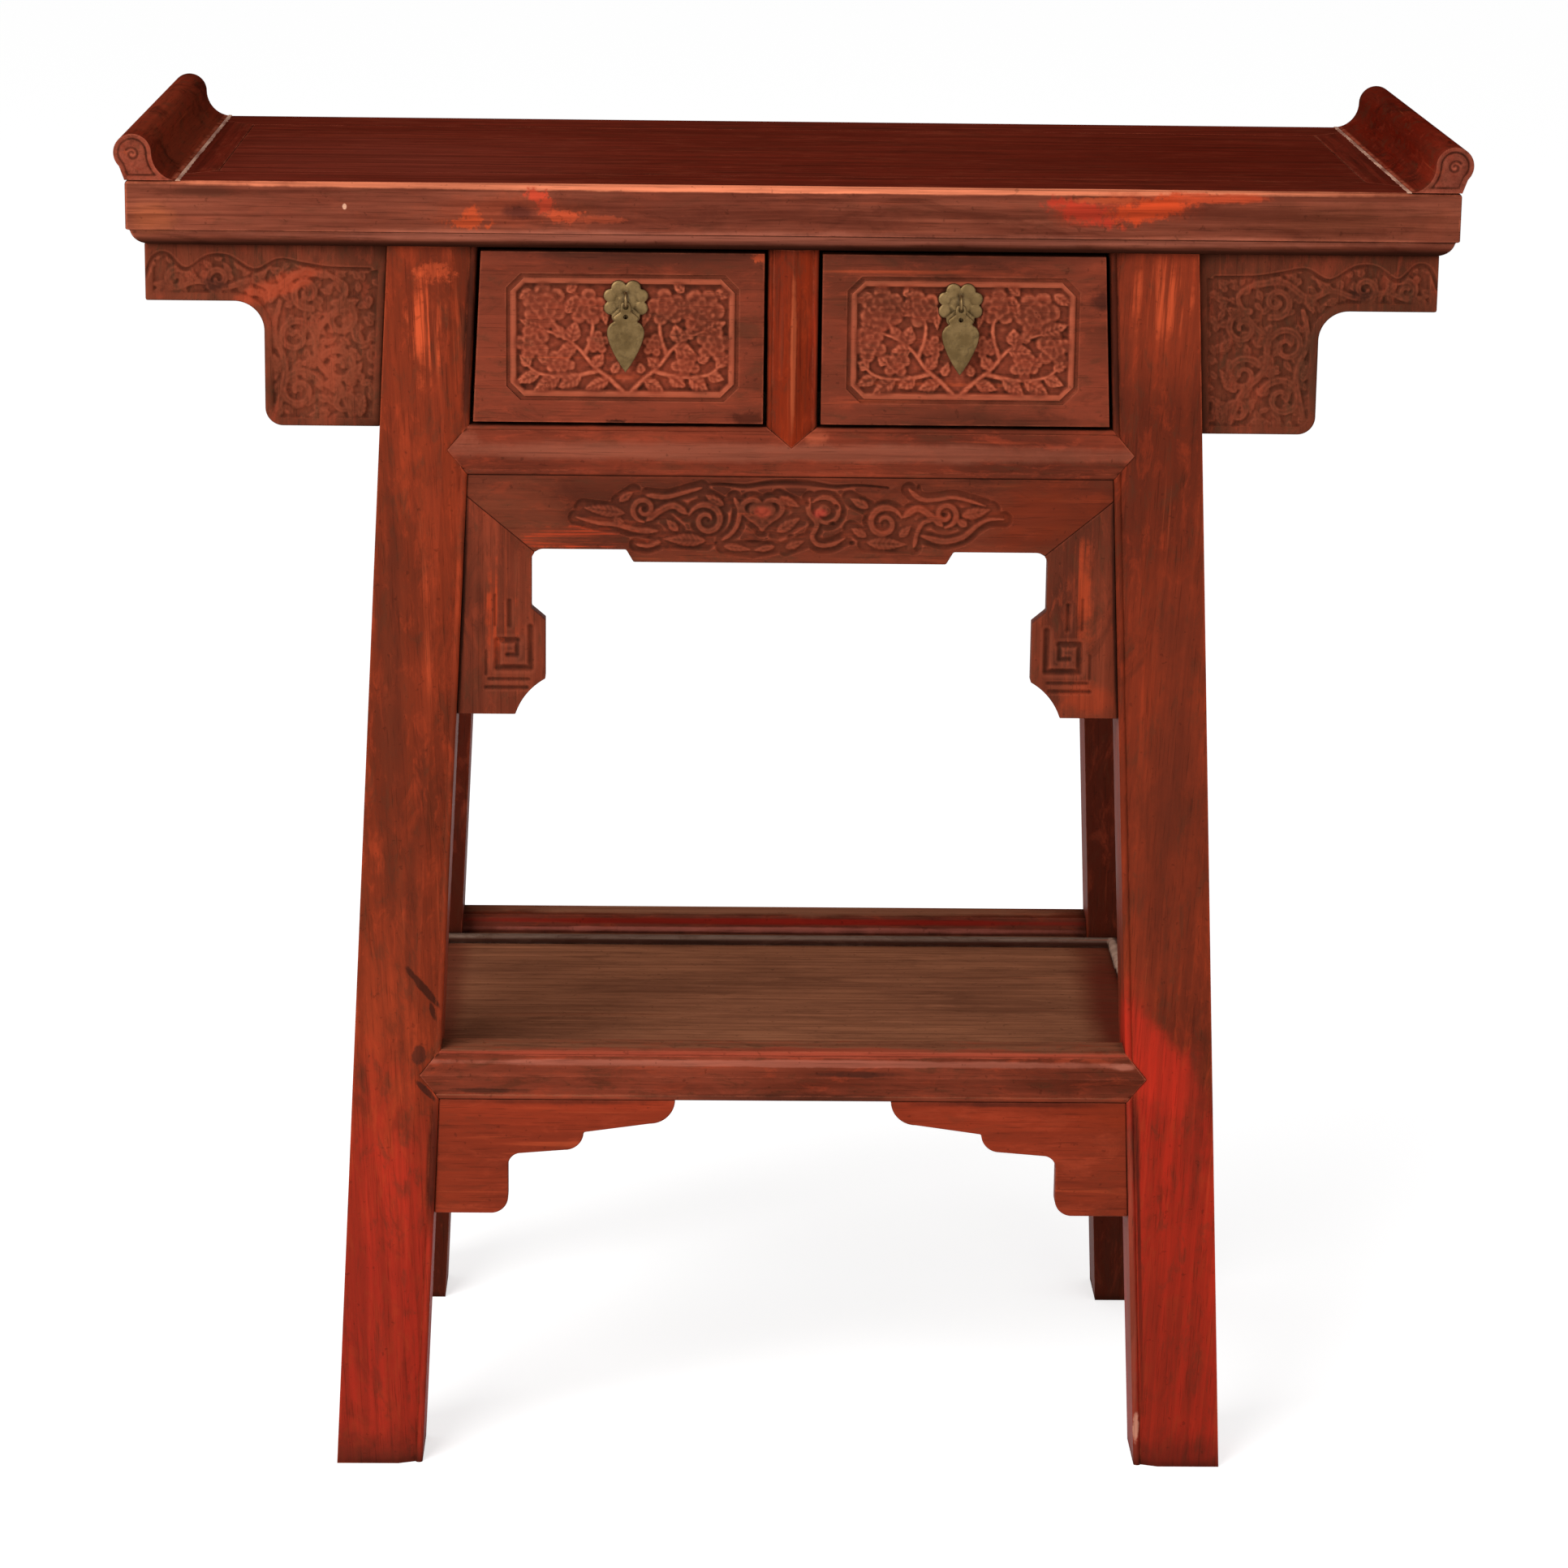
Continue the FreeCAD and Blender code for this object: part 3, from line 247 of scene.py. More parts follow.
plainLook = {
    "deep": (92, 40, 26), "body": (138, 58, 37), "rubbed": (170, 68, 42), "smoke": (58, 30, 20),
    "streak": (78, 32, 21), "edge": (196, 92, 62), "facing": (104, 44, 29), "scuff": (208, 88, 50),
    "rubShare": 0.45, "smokeShare": 0.45, "oliveShare": 0.42, "warmShare": 0.42, "streakShare": 0.38,
    "edgeShare": 0.55, "raisedShare": 0.70, "scuffShare": 0.35, "dirtAndShadeShare": 0.88,
    "facingAxis": "Z", "facingShare": 0.25, "roughness": 0.45, "specular": 0.02,
}
lacquerLooks = {
    # painted shade: the top's upward faces take a darker colour, as the front light only grazes them
    "top": {
        **plainLook, "deep": (112, 54, 39), "body": (148, 78, 57), "rubbed": (154, 73, 50),
        "edge": (220, 118, 86), "facing": (110, 35, 22), "streak": (60, 20, 12), "smoke": (64, 26, 17),
        "edgeShare": 0.60, "facingShare": 0.96, "rubShare": 0.22, "smokeShare": 0.40, "streakShare": 0.55,
        "oliveShare": 0.25, "warmShare": 0.22, "scuffShare": 0.16, "dirtAndShadeShare": 0.5, "specular": 0.0,
    },
    "flange": {
        **plainLook, "deep": (84, 24, 13), "body": (118, 36, 21), "rubbed": (138, 46, 28),
        "edge": (196, 100, 72), "facing": (149, 74, 55), "facingAxis": "Y", "facingShare": 0.95,
        "smoke": (38, 14, 9), "smokeShare": 0.65, "specular": 0.0,
    },
    "case": plainLook,
    "carved": {
        **plainLook, "deep": (93, 43, 28), "body": (131, 58, 39), "rubbed": (152, 64, 41),
        "edge": (206, 107, 75), "streakShare": 0.22, "raisedShare": 0.92,
    },
    "dark": {
        **plainLook, "deep": (82, 41, 26), "body": (124, 58, 38), "rubbed": (150, 62, 40),
        "edge": (156, 76, 52), "streakShare": 0.25, "scuffShare": 0.15, "dirtAndShadeShare": 0.60, "oliveShare": 0.65,
    },
    "apron": {
        **plainLook, "deep": (84, 39, 26), "body": (125, 55, 35), "rubbed": (150, 61, 37),
        "edge": (164, 78, 53), "scuffShare": 0.25,
    },
    "legLeft": {
        **plainLook, "deep": (108, 42, 23), "body": (150, 56, 30), "rubbed": (172, 63, 33),
        "smoke": (78, 38, 23), "edge": (198, 86, 52), "facingShare": 0.0,
    },
    # painted shade: a copy of the left leg's lacquer about a tenth darker
    "legRight": {
        **plainLook, "deep": (96, 37, 21), "body": (136, 50, 27), "rubbed": (158, 56, 29),
        "smoke": (68, 33, 20), "edge": (188, 80, 48), "facingShare": 0.0,
    },
    "bracket": {
        **plainLook, "deep": (124, 46, 27), "body": (148, 53, 30), "smokeShare": 0.25, "streakShare": 0.25,
        "oliveShare": 0.2, "warmShare": 0.2,
    },
    "divider": {
        **plainLook, "deep": (92, 30, 12), "body": (134, 42, 17), "rubbed": (164, 55, 23), "edgeShare": 0.8,
    },
    "backLegShade": {    # painted shade: the back legs are darker on the side that faces forward, which the front light reaches less
        **plainLook, "deep": (104, 40, 23), "body": (142, 54, 31), "edge": (128, 60, 40),
        "facing": (66, 22, 12), "facingAxis": "Y", "facingShare": 0.92, "rubShare": 0.25, "scuffShare": 0.1,
        "oliveShare": 0.2, "warmShare": 0.15,
    },
    # painted shade: the back rail deep inside the frame has a duller front and duller edges than the plain
    # lacquer
    "backRailShade": {
        **plainLook, "facing": (120, 57, 43), "facingAxis": "Y", "facingShare": 0.85, "edge": (150, 84, 64),
        "specular": 0.0,
    },
    "shelfLip": {
        **plainLook, "body": (140, 64, 44), "facing": (142, 86, 61), "facingShare": 0.95, "rubShare": 0.25,
        "edge": (190, 94, 68), "edgeShare": 0.75, "dirtAndShadeShare": 0.6, "scuffShare": 0.12, "oliveShare": 0.5,
        "specular": 0.0,
    },
    "shelf": {
        **plainLook, "deep": (136, 83, 59), "body": (168, 105, 74), "rubbed": (174, 110, 79),
        "smoke": (98, 57, 40), "streak": (84, 47, 32), "edge": (160, 98, 70), "smokeShare": 0.35,
        "streakShare": 0.45, "edgeShare": 0.35, "facingShare": 0.0, "specular": 0.0, "scuffShare": 0.1,
        "oliveShare": 0.2, "warmShare": 0.1,
    },
    # painted highlight: the front faces of the bead are paler
    "bead": {
        **plainLook, "deep": (44, 27, 21), "body": (66, 41, 32), "rubbed": (92, 62, 50),
        "edge": (150, 118, 102), "facing": (138, 112, 97), "facingShare": 0.85, "specular": 0.0,
    },
}
facingReach = {"Z": (0.25, 0.80), "Y": (-0.35, -0.75)}    # painted light and shade by the way a face is turned: from faces left alone to faces wholly covered


def painted(look):
    # the look with its colours made ready for sockets
    return {key: paint(*value) if isinstance(value, tuple) else value for key, value in look.items()}


def newMaterial(name):
    material = bpy.data.materials.new(name)
    material.use_nodes = True
    tree = material.node_tree
    return material, tree, tree.nodes["Principled BSDF"]


def over(tree, colour, mask, share, layer):
    return blendColours(tree, reckon(tree, "MULTIPLY", mask, share), colour, layer)


def roughen(tree, shader, height, look):
    bump = put(tree, "Bump", {"Height": height, "Strength": look["bump"], "Distance": look["bumpDepth"]})
    feed(tree, shader.inputs["Normal"], bump.outputs["Normal"])


def addPatch(tree, place, grain, colour, spot):
    if spot["turn"]:
        sockets = {"Vector": place, "Center": spot["centre"], "Axis": (0.0, 1.0, 0.0), "Angle": spot["turn"]}
        place = put(tree, "VectorRotate", sockets).outputs[0]
    sockets = {
        "Place": place, "Centre": spot["centre"], "Reach": spot["reach"],
        "Ragged": spot["ragged"], "Scale": spot["scale"], "Soft": spot["soft"],
    }
    mask = useGroup(tree, patchGroup, sockets)["Patch"]
    if spot["streaked"]:
        mask = reckon(tree, "MULTIPLY", mask, between(tree, grain["Streak"], *comesIn["grainGap"]))
    return over(tree, colour, mask, spot["share"], spot["colour"])


lacquerSkin = {
    "edgeRadius": 2.2 * mm, "dirtAndShadeReach": 11 * mm, "paintedUndersideShade": (-0.50, -0.92), "paintedUndersideShadeShare": 0.85,
    "speckShare": 0.30, "grimeDull": 0.30, "cloudDull": 0.10, "streakDepth": -0.5, "smokeDepth": -0.6,
    "bump": 0.35, "bumpDepth": 0.25 * mm,
}


def lacquer(name, look, along, patches=(), lean=0.0):
    look, skin = painted(look), lacquerSkin
    material, tree, shader = newMaterial(name)
    place = put(tree, "TexCoord").outputs["Object"]
    drawn = put(tree, "Mapping", {"Vector": place, "Rotation": (0.0, lean, 0.0)}).outputs[0]
    grain = useGroup(tree, grainGroup, {"Place": drawn, "Stretch": grainAlong[along]})
    patina = useGroup(tree, patinaGroup, {"Place": drawn, "Stretch": cloudAlong[along]})
    edge = useGroup(tree, edgeGroup, {"Place": place, "Radius": skin["edgeRadius"]})["Edge"]
    dirtAndShade = useGroup(tree, dirtAndShadeGroup, {"Place": place, "Reach": skin["dirtAndShadeReach"]})["DirtAndShade"]
    # worn high points of the carving, partly a painted highlight
    raisedWearAndHighlight = put(tree, "Attribute", attribute_name="raisedWearAndHighlight", attribute_type="GEOMETRY").outputs["Fac"]
    normal = put(tree, "SeparateXYZ", {0: put(tree, "NewGeometry").outputs["Normal"]}).outputs
    # painted light and shade: faces turned along the look's axis take the look's own colour for that side
    facing = between(tree, normal[look["facingAxis"]], *facingReach[look["facingAxis"]])
    # painted shade: faces turned downward are darkened, in place of the shade under edges
    paintedUndersideShade = between(tree, normal["Z"], *skin["paintedUndersideShade"])
    # dirt and painted shade: corners and the cuts of the carving darkened towards the dark tone
    grimeAndShade = reckon(tree, "MULTIPLY", dirtAndShade, look["dirtAndShadeShare"])
    specks = reckon(tree, "MAXIMUM", patina["Speck"], grain["Pores"])

    colour = blendColours(tree, patina["Cloud"], look["deep"], look["body"])
    colour = over(tree, colour, facing, look["facingShare"], look["facing"])
    for spot in patches:
        if spot["under"]:
            colour = addPatch(tree, place, grain, colour, spot)
    colour = over(tree, colour, patina["Rub"], look["rubShare"], look["rubbed"])
    colour = over(tree, colour, patina["Smoke"], look["smokeShare"], look["smoke"])
    colour = over(tree, colour, patina["Olive"], look["oliveShare"], oliveStain)
    colour = over(tree, colour, patina["Warm"], look["warmShare"], look["rubbed"])
    colour = over(tree, colour, grain["Scuff"], look["scuffShare"], look["scuff"])
    for spot in patches:
        if not spot["under"]:
            colour = addPatch(tree, place, grain, colour, spot)
    colour = over(tree, colour, grain["Streak"], look["streakShare"], look["streak"])
    # worn edges, partly painted highlights along them
    colour = over(tree, colour, edge, look["edgeShare"], look["edge"])
    # worn high points with painted highlight on them
    colour = over(tree, colour, raisedWearAndHighlight, look["raisedShare"], look["edge"])
    # painted shade on the faces that turn downward
    colour = over(tree, colour, paintedUndersideShade, skin["paintedUndersideShadeShare"], dirtAndShadeColour)
    colour = blendColours(tree, grimeAndShade, colour, dirtAndShadeColour)
    colour = over(tree, colour, specks, skin["speckShare"], dirtAndShadeColour)
    feed(tree, shader.inputs["Base Color"], colour)

    grimeDull = reckon(tree, "MULTIPLY", grimeAndShade, skin["grimeDull"])
    dull = reckon(tree, "ADD", grimeDull, reckon(tree, "MULTIPLY", patina["Cloud"], skin["cloudDull"]))
    feed(tree, shader.inputs["Roughness"], reckon(tree, "ADD", dull, look["roughness"]))
    streaks = reckon(tree, "MULTIPLY", grain["Streak"], skin["streakDepth"])
    hollow = reckon(tree, "SUBTRACT", streaks, grain["Pores"])
    height = reckon(tree, "ADD", hollow, reckon(tree, "MULTIPLY", patina["Smoke"], skin["smokeDepth"]))
    roughen(tree, shader, height, skin)
    shader.inputs["Specular IOR Level"].default_value = look["specular"]
    return material


bareLook = {
    "deep": (112, 84, 58), "body": (146, 114, 82), "streak": (92, 66, 44), "streakShare": 0.6,
    "dirtAndShadeReach": 14 * mm, "dirtAndShadeShare": 0.6, "smoothest": 0.62, "roughest": 0.78, "streakDepth": -0.6,
    "bump": 0.4, "bumpDepth": 0.3 * mm, "specular": 0.25,
}


def bareWood(name, along):
    look = painted(bareLook)
    material, tree, shader = newMaterial(name)
    place = put(tree, "TexCoord").outputs["Object"]
    grain = useGroup(tree, grainGroup, {"Place": place, "Stretch": grainAlong[along]})
    patina = useGroup(tree, patinaGroup, {"Place": place, "Stretch": cloudAlong[along]})
    dirtAndShade = useGroup(tree, dirtAndShadeGroup, {"Place": place, "Reach": look["dirtAndShadeReach"]})["DirtAndShade"]
    colour = blendColours(tree, patina["Cloud"], look["deep"], look["body"])
    colour = over(tree, colour, grain["Streak"], look["streakShare"], look["streak"])
    # dirt and painted shade in the corners of the bare wood
    colour = over(tree, colour, dirtAndShade, look["dirtAndShadeShare"], dirtAndShadeColour)
    feed(tree, shader.inputs["Base Color"], colour)
    rough = between(tree, grain["Streak"], 0.0, 1.0, look["smoothest"], look["roughest"])
    feed(tree, shader.inputs["Roughness"], rough)
    streaks = reckon(tree, "MULTIPLY", grain["Streak"], look["streakDepth"])
    roughen(tree, shader, reckon(tree, "SUBTRACT", streaks, grain["Pores"]), look)
    shader.inputs["Specular IOR Level"].default_value = look["specular"]
    return material


brassLook = {
    "bright": (128, 103, 66), "olive": (86, 66, 36), "dark": (30, 23, 15), "shineRange": 0.45,
    "smokeShare": 0.35, "edgeRadius": 0.6 * mm, "edgeShare": 0.7, "dirtAndShadeReach": 4 * mm, "dirtAndShadeShare": 0.9,
    "smoothest": 0.40, "roughest": 0.58, "cleanMetal": 0.85, "dirtyMetal": 0.30,
    "bump": 0.25, "bumpDepth": 0.2 * mm,
}


def agedBrass(name, polish):
    look = painted(brassLook)
    material, tree, shader = newMaterial(name)
    place = put(tree, "TexCoord").outputs["Object"]
    patina = useGroup(tree, patinaGroup, {"Place": place, "Stretch": cloudAlong["brass"]})
    edge = useGroup(tree, edgeGroup, {"Place": place, "Radius": look["edgeRadius"]})["Edge"]
    dirtAndShade = useGroup(tree, dirtAndShadeGroup, {"Place": place, "Reach": look["dirtAndShadeReach"]})["DirtAndShade"]
    shine = between(tree, patina["Cloud"], 0.0, 1.0, polish, polish + look["shineRange"])
    colour = blendColours(tree, shine, look["olive"], look["bright"])
    colour = over(tree, colour, patina["Smoke"], look["smokeShare"], look["dark"])
    colour = over(tree, colour, edge, look["edgeShare"], look["bright"])
    colour = over(tree, colour, dirtAndShade, look["dirtAndShadeShare"], look["dark"])
    feed(tree, shader.inputs["Base Color"], colour)
    rough = between(tree, patina["Rub"], 0.0, 1.0, look["smoothest"], look["roughest"])
    feed(tree, shader.inputs["Roughness"], rough)
    metal = between(tree, dirtAndShade, 0.0, 1.0, look["cleanMetal"], look["dirtyMetal"])
    feed(tree, shader.inputs["Metallic"], metal)
    roughen(tree, shader, patina["Cloud"], look)
    return material


seamLook = {
    "pale": (214, 164, 138), "dull": (128, 72, 52), "speckShare": 0.6, "smoothest": 0.70, "roughest": 0.90,
    "specular": 0.1,
}


def seamFiller(name):
    # old filler in an open joint, dirty in places
    look = painted(seamLook)
    material, tree, shader = newMaterial(name)
    place = put(tree, "TexCoord").outputs["Object"]
    patina = useGroup(tree, patinaGroup, {"Place": place, "Stretch": cloudAlong["seam"]})
    colour = blendColours(tree, patina["Cloud"], look["dull"], look["pale"])
    colour = over(tree, colour, patina["Speck"], look["speckShare"], dirtAndShadeColour)
    feed(tree, shader.inputs["Base Color"], colour)
    rough = between(tree, patina["Rub"], 0.0, 1.0, look["smoothest"], look["roughest"])
    feed(tree, shader.inputs["Roughness"], rough)
    shader.inputs["Specular IOR Level"].default_value = look["specular"]
    return material


# Carving: a height map over a flat face, in millimetres, cut into a copy of the frame's piece

proud = 0.6         # how far the cutter stands off a face that it leaves alone
carveStep = 0.6     # spacing of the height map
faceMargin = 2.0    # how far a height map reaches past its piece
farAway = 1e3
tiny = 1e-9         # keeps a division from failing
easing = {
    "width": 1.1 * mm, "brassWidth": 0.25 * mm, "carvedWidth": 0.6 * mm, "boardWidth": 1.5 * mm,
    "segments": 2, "profile": 0.6, "angle": math.radians(32), "join": 1e-6, "flat": math.radians(0.5),
}
strokes = {    # sections of the carver's strokes, mostly as shares of their width and height
    "fluteHalf": 0.45, "grooveSpread": 2.2, "grooveWall": 1.4, "core": 0.7, "shoulder": 0.3,
    "shoulderFall": 1.5, "pitWall": 1.15, "pitFall": 0.7, "leafBelly": 0.75, "leafEdge": 0.35,
    "leafDome": 0.65, "sliver": 1e-3, "vein": 0.10, "veinStep": 3.2, "veinSlant": 0.9, "rib": 0.5,
    "ribHalf": 0.55, "cup": 0.28, "cupHalf": 0.55, "eye": 0.20, "eyeRise": 1.12, "markBlur": 2,
    "petalRings": ((0.62, 0.42, 0.80, 0.0), (0.34, 0.34, 1.0, 0.5)),    # reach, size, rise and shift
}
carving = {
    "standOff": 4 * proud, "smoothing": 1, "blur": 4, "cavityDepth": 0.75, "raisedHeight": 0.9,
    "cutsFrom": 0.05 * mm, "cutsTo": 4 * mm, "crease": 48,
}


def flowing(points, count=10):
    # a smooth line through the given points
    spots = np.array([points[0], *points, points[-1]], float)
    share = np.linspace(0, 1, count, endpoint=False)[:, None]
    runs = []
    for a, b, c, d in zip(spots, spots[1:], spots[2:], spots[3:]):
        square = 2 * a - 5 * b + 4 * c - d
        cube = 3 * b - a - 3 * c + d
        runs.append(0.5 * (2 * b + (c - a) * share + square * share ** 2 + cube * share ** 3))
    return np.vstack(runs + [spots[-1:]])


def curl(centre, outer, inner, start, turns, stepsPerTurn=24, tightening=0.85):
    # a spiral from the outer radius in to the inner one; angles in turns
    share = np.linspace(0, 1, int(stepsPerTurn * abs(turns)) + 2)
    angle = (start + turns * share) * 2 * math.pi
    radius = outer + (inner - outer) * share ** tightening
    return np.column_stack((centre[0] + radius * np.cos(angle), centre[1] + radius * np.sin(angle)))


def tapered(line, first, last):
    return np.linspace(first, last, len(line))


def soften(values, reach):
    # a blur by a short bell along both directions
    offsets = np.arange(-2 * reach, 2 * reach + 1)
    bell = np.exp(-(offsets / max(reach, 1)) ** 2)
    bell /= bell.sum()
    for axis in (0, 1):
        margin = [(0, 0), (0, 0)]
        margin[axis] = (2 * reach, 2 * reach)
        padded = np.pad(values, margin, mode="edge")
        length = values.shape[axis]
        values = sum(share * padded.take(range(k, k + length), axis) for k, share in enumerate(bell))
    return values


class Relief:
    def __init__(self, low, high, ground):
        self.low = np.array(low, float)
        self.ground = ground
        wide = np.arange(low[0], high[0] + carveStep, carveStep)
        tall = np.arange(low[1], high[1] + carveStep, carveStep)
        self.x, self.z = np.meshgrid(wide, tall)
        self.height = np.full(self.x.shape, float(ground))

    def window(self, points, margin):
        points = np.asarray(points, float)
        first = np.maximum((points.min(0) - margin - self.low) / carveStep, 0).astype(int)
        last = np.maximum((points.max(0) + margin - self.low) / carveStep + 2, 0).astype(int)
        return slice(first[1], last[1]), slice(first[0], last[0])

    def shareOf(self, line, widths):
        # distance from a line as a share of its half width, over the line's own window
        spot = self.window(line, max(widths) + carveStep)
        x, z = self.x[spot], self.z[spot]
        share = np.full(x.shape, farAway)
        for start, end, first, last in zip(line, line[1:], widths, widths[1:]):
            run = end - start
            along = ((x - start[0]) * run[0] + (z - start[1]) * run[1]) / max(run @ run, tiny)
            along = np.clip(along, 0, 1)
            gap = np.hypot(x - start[0] - along * run[0], z - start[1] - along * run[1])
            share = np.minimum(share, gap / (first + (last - first) * along))
        return spot, share

    def lift(self, spot, height):
        self.height[spot] = np.maximum(self.height[spot], height)

    def ribbon(self, line, widths, crest, flute=0.0):
        # a raised band with a rounded section and, if wanted, a flute down its middle
        spot, share = self.shareOf(line, widths)
        dip = flute * np.clip(1 - (share / strokes["fluteHalf"]) ** 2, 0, 1)
        swell = np.clip(1 - share ** 2, 0, 1) ** 0.5 - dip
        self.lift(spot, np.where(share < 1, self.ground + crest * swell, self.ground))

    def incise(self, line, widths, depth):
        # a groove cut into a face that is otherwise left alone
        spread, wall = strokes["grooveSpread"], strokes["grooveWall"]
        spot, share = self.shareOf(line, [spread * width for width in widths])
        core = strokes["core"] * np.clip(wall - wall * spread * share, 0, 1)
        shoulder = strokes["shoulder"] * np.clip(1 - share, 0, 1) ** strokes["shoulderFall"]
        sunk = np.where(share < 1, -depth * (shoulder + core), proud)
        self.height[spot] = np.minimum(self.height[spot], sunk)

    def gapFrom(self, lines, reach):
        # distance from the nearest edge of any line, negative on it
        gap = np.full(self.x.shape, float(reach))
        for line, width in lines:
            spot, share = self.shareOf(line, [reach] * len(line))
            gap[spot] = np.minimum(gap[spot], share * reach - width)
        return gap

    def pit(self, centre, reach, depth, turn):
        # a scooped hollow, turned by an angle in degrees
        spot = self.window([centre], max(reach))
        x, z = self.x[spot] - centre[0], self.z[spot] - centre[1]
        angle, wall = math.radians(turn), strokes["pitWall"]
        along = x * math.cos(angle) + z * math.sin(angle)
        across = z * math.cos(angle) - x * math.sin(angle)
        scoop = np.clip(wall - np.hypot(along / reach[0], across / reach[1]) * wall, 0, 1)
        sunk = proud - (depth + proud) * scoop ** strokes["pitFall"]
        self.height[spot] = np.minimum(self.height[spot], sunk)

    def leaf(self, base, tip, width, crest):
        # a domed leaf with slanting veins and a cut down its middle
        base, tip = np.array(base, float), np.array(tip, float)
        length = np.hypot(*(tip - base))
        along = (tip - base) / length
        spot = self.window([base, tip], width)
        x, z = self.x[spot] - base[0], self.z[spot] - base[1]
        share = (x * along[0] + z * along[1]) / length
        aside = z * along[0] - x * along[1]
        belly = np.sin(math.pi * np.clip(share, 0, 1) ** strokes["leafBelly"])
        across = np.abs(aside) / (width * belly + strokes["sliver"])
        dome = np.clip(1 - across ** 2, 0, 1) ** 0.5
        turns = share * length / strokes["veinStep"] - strokes["veinSlant"] * across
        veins = strokes["vein"] * np.cos(2 * math.pi * turns)
        rib = strokes["rib"] * np.exp(-(aside / strokes["ribHalf"]) ** 2)
        swell = crest * (strokes["leafEdge"] + strokes["leafDome"] * dome + veins) - rib
        onLeaf = (across < 1) & (share > 0) & (share < 1)
        self.lift(spot, np.where(onLeaf, self.ground + swell, self.ground))

    def petal(self, centre, radius, crest):
        spot = self.window([centre], radius)
        share = np.hypot(self.x[spot] - centre[0], self.z[spot] - centre[1]) / radius
        cup = strokes["cup"] * np.exp(-(share / strokes["cupHalf"]) ** 2)
        swell = np.clip(1 - share ** 4, 0, 1) ** 0.5 - cup
        self.lift(spot, np.where(share < 1, self.ground + crest * swell, self.ground))

    def flower(self, centre, radius, petals, turn, crest):
        for reach, size, rise, shift in strokes["petalRings"]:
            for step in range(petals):
                angle = turn + (step + shift) * 2 * math.pi / petals
                aside = reach * radius * np.array((math.cos(angle), math.sin(angle)))
                self.petal(centre + aside, size * radius, crest * rise)
        self.petal(centre, strokes["eye"] * radius, crest * strokes["eyeRise"])

    def chisel(self, chance, depth):
        # uneven marks of the chisel
        self.height += depth * soften(chance.uniform(-1, 1, self.height.shape), strokes["markBlur"])

    def valueAt(self, x, z, values):
        # values of the map between its own points
        last = np.array(values.shape) - 1.001    # just short of the last row and column
        row = np.clip((z - self.low[1]) / carveStep, 0, last[0])
        column = np.clip((x - self.low[0]) / carveStep, 0, last[1])
        i, j = row.astype(int), column.astype(int)
        down, along = row - i, column - j
        lower = values[i, j] * (1 - along) + values[i, j + 1] * along
        upper = values[i + 1, j] * (1 - along) + values[i + 1, j + 1] * along
        return lower * (1 - down) + upper * down


def edgeDistance(x, z, corners):
    # distance from an outline's line
    nearest = np.full(x.shape, farAway)
    for (x0, z0), (x1, z1) in zip(corners, corners[1:] + corners[:1]):
        runX, runZ = x1 - x0, z1 - z0
        along = ((x - x0) * runX + (z - z0) * runZ) / max(runX * runX + runZ * runZ, tiny)
        along = np.clip(along, 0, 1)
        nearest = np.minimum(nearest, np.hypot(x - x0 - along * runX, z - z0 - along * runZ))
    return nearest


def insideOf(x, z, corners):
    # distance inside an outline, negative outside
    inside = np.zeros(x.shape, bool)
    for (x0, z0), (x1, z1) in zip(corners, corners[1:] + corners[:1]):
        if z0 != z1:
            crosses = (z0 > z) != (z1 > z)
            inside ^= crosses & (x < (x1 - x0) * (z - z0) / (z1 - z0) + x0)
    return np.where(inside, 1, -1) * edgeDistance(x, z, corners)


def joinedShape(node):
    # the shape of a frame piece with its shared corners joined and its flat faces whole
    shape = bmesh.new()
    shape.from_mesh(nodes[node].data)
    bmesh.ops.remove_doubles(shape, verts=shape.verts, dist=easing["join"])
    bmesh.ops.dissolve_limit(shape, angle_limit=easing["flat"], verts=shape.verts, edges=shape.edges)
    return shape


def frontOutline(node):
    # the outline of a piece's front face, in millimetres
    shape = joinedShape(node)
    lowest = min(vertex.co.y for vertex in shape.verts)
    fronts = [face for face in shape.faces if face.calc_center_median().y < lowest + 0.1 * mm]
    widest = max(fronts, key=lambda face: face.calc_area())
    outline = [(vertex.co.x / mm, vertex.co.z / mm) for vertex in widest.verts]
    shape.free()
    return outline


def addObject(name, data):
    obj = bpy.data.objects.new(name, data)
    bpy.context.scene.collection.objects.link(obj)
    return obj


def meshObject(name, vertices, faces):
    mesh = bpy.data.meshes.new(name)
    mesh.from_pydata([tuple(v) for v in vertices], [], [tuple(f) for f in faces])
    mesh.validate()
    return addObject(name, mesh)


def smooth(obj, angle):
    # smooth shading, with a crease wherever faces turn by more than the angle
    mesh = obj.data
    mesh.polygons.foreach_set("use_smooth", np.ones(len(mesh.polygons), bool))
    mesh.set_sharp_from_angle(angle=math.radians(angle))


def cutterFor(relief, face):
    # the air in front of the carved surface, as one closed mesh
    height = relief.height.copy()
    height[[0, -1], :] = proud
    height[:, [0, -1]] = proud
    carved = np.column_stack((relief.x.ravel() * mm, face - height.ravel() * mm, relief.z.ravel() * mm))
    start = height.size
    index = np.arange(start).reshape(height.shape)
    corners = (index[:-1, :-1], index[:-1, 1:], index[1:, 1:], index[1:, :-1])
    quads = np.column_stack([corner.ravel() for corner in corners])
    ring = np.concatenate((index[0, :-1], index[:-1, -1], index[-1, :0:-1], index[:0:-1, 0]))
    outer = carved[ring].copy()
    outer[:, 1] = face - carving["standOff"] * mm
    count = len(ring)
    sides = [(ring[(k + 1) % count], start + (k + 1) % count, start + k, ring[k]) for k in range(count)]
    faces = [tuple(quad[::-1]) for quad in quads] + sides + [tuple(range(start, start + count))]
    return meshObject("cutter", np.vstack((carved, outer)), faces)


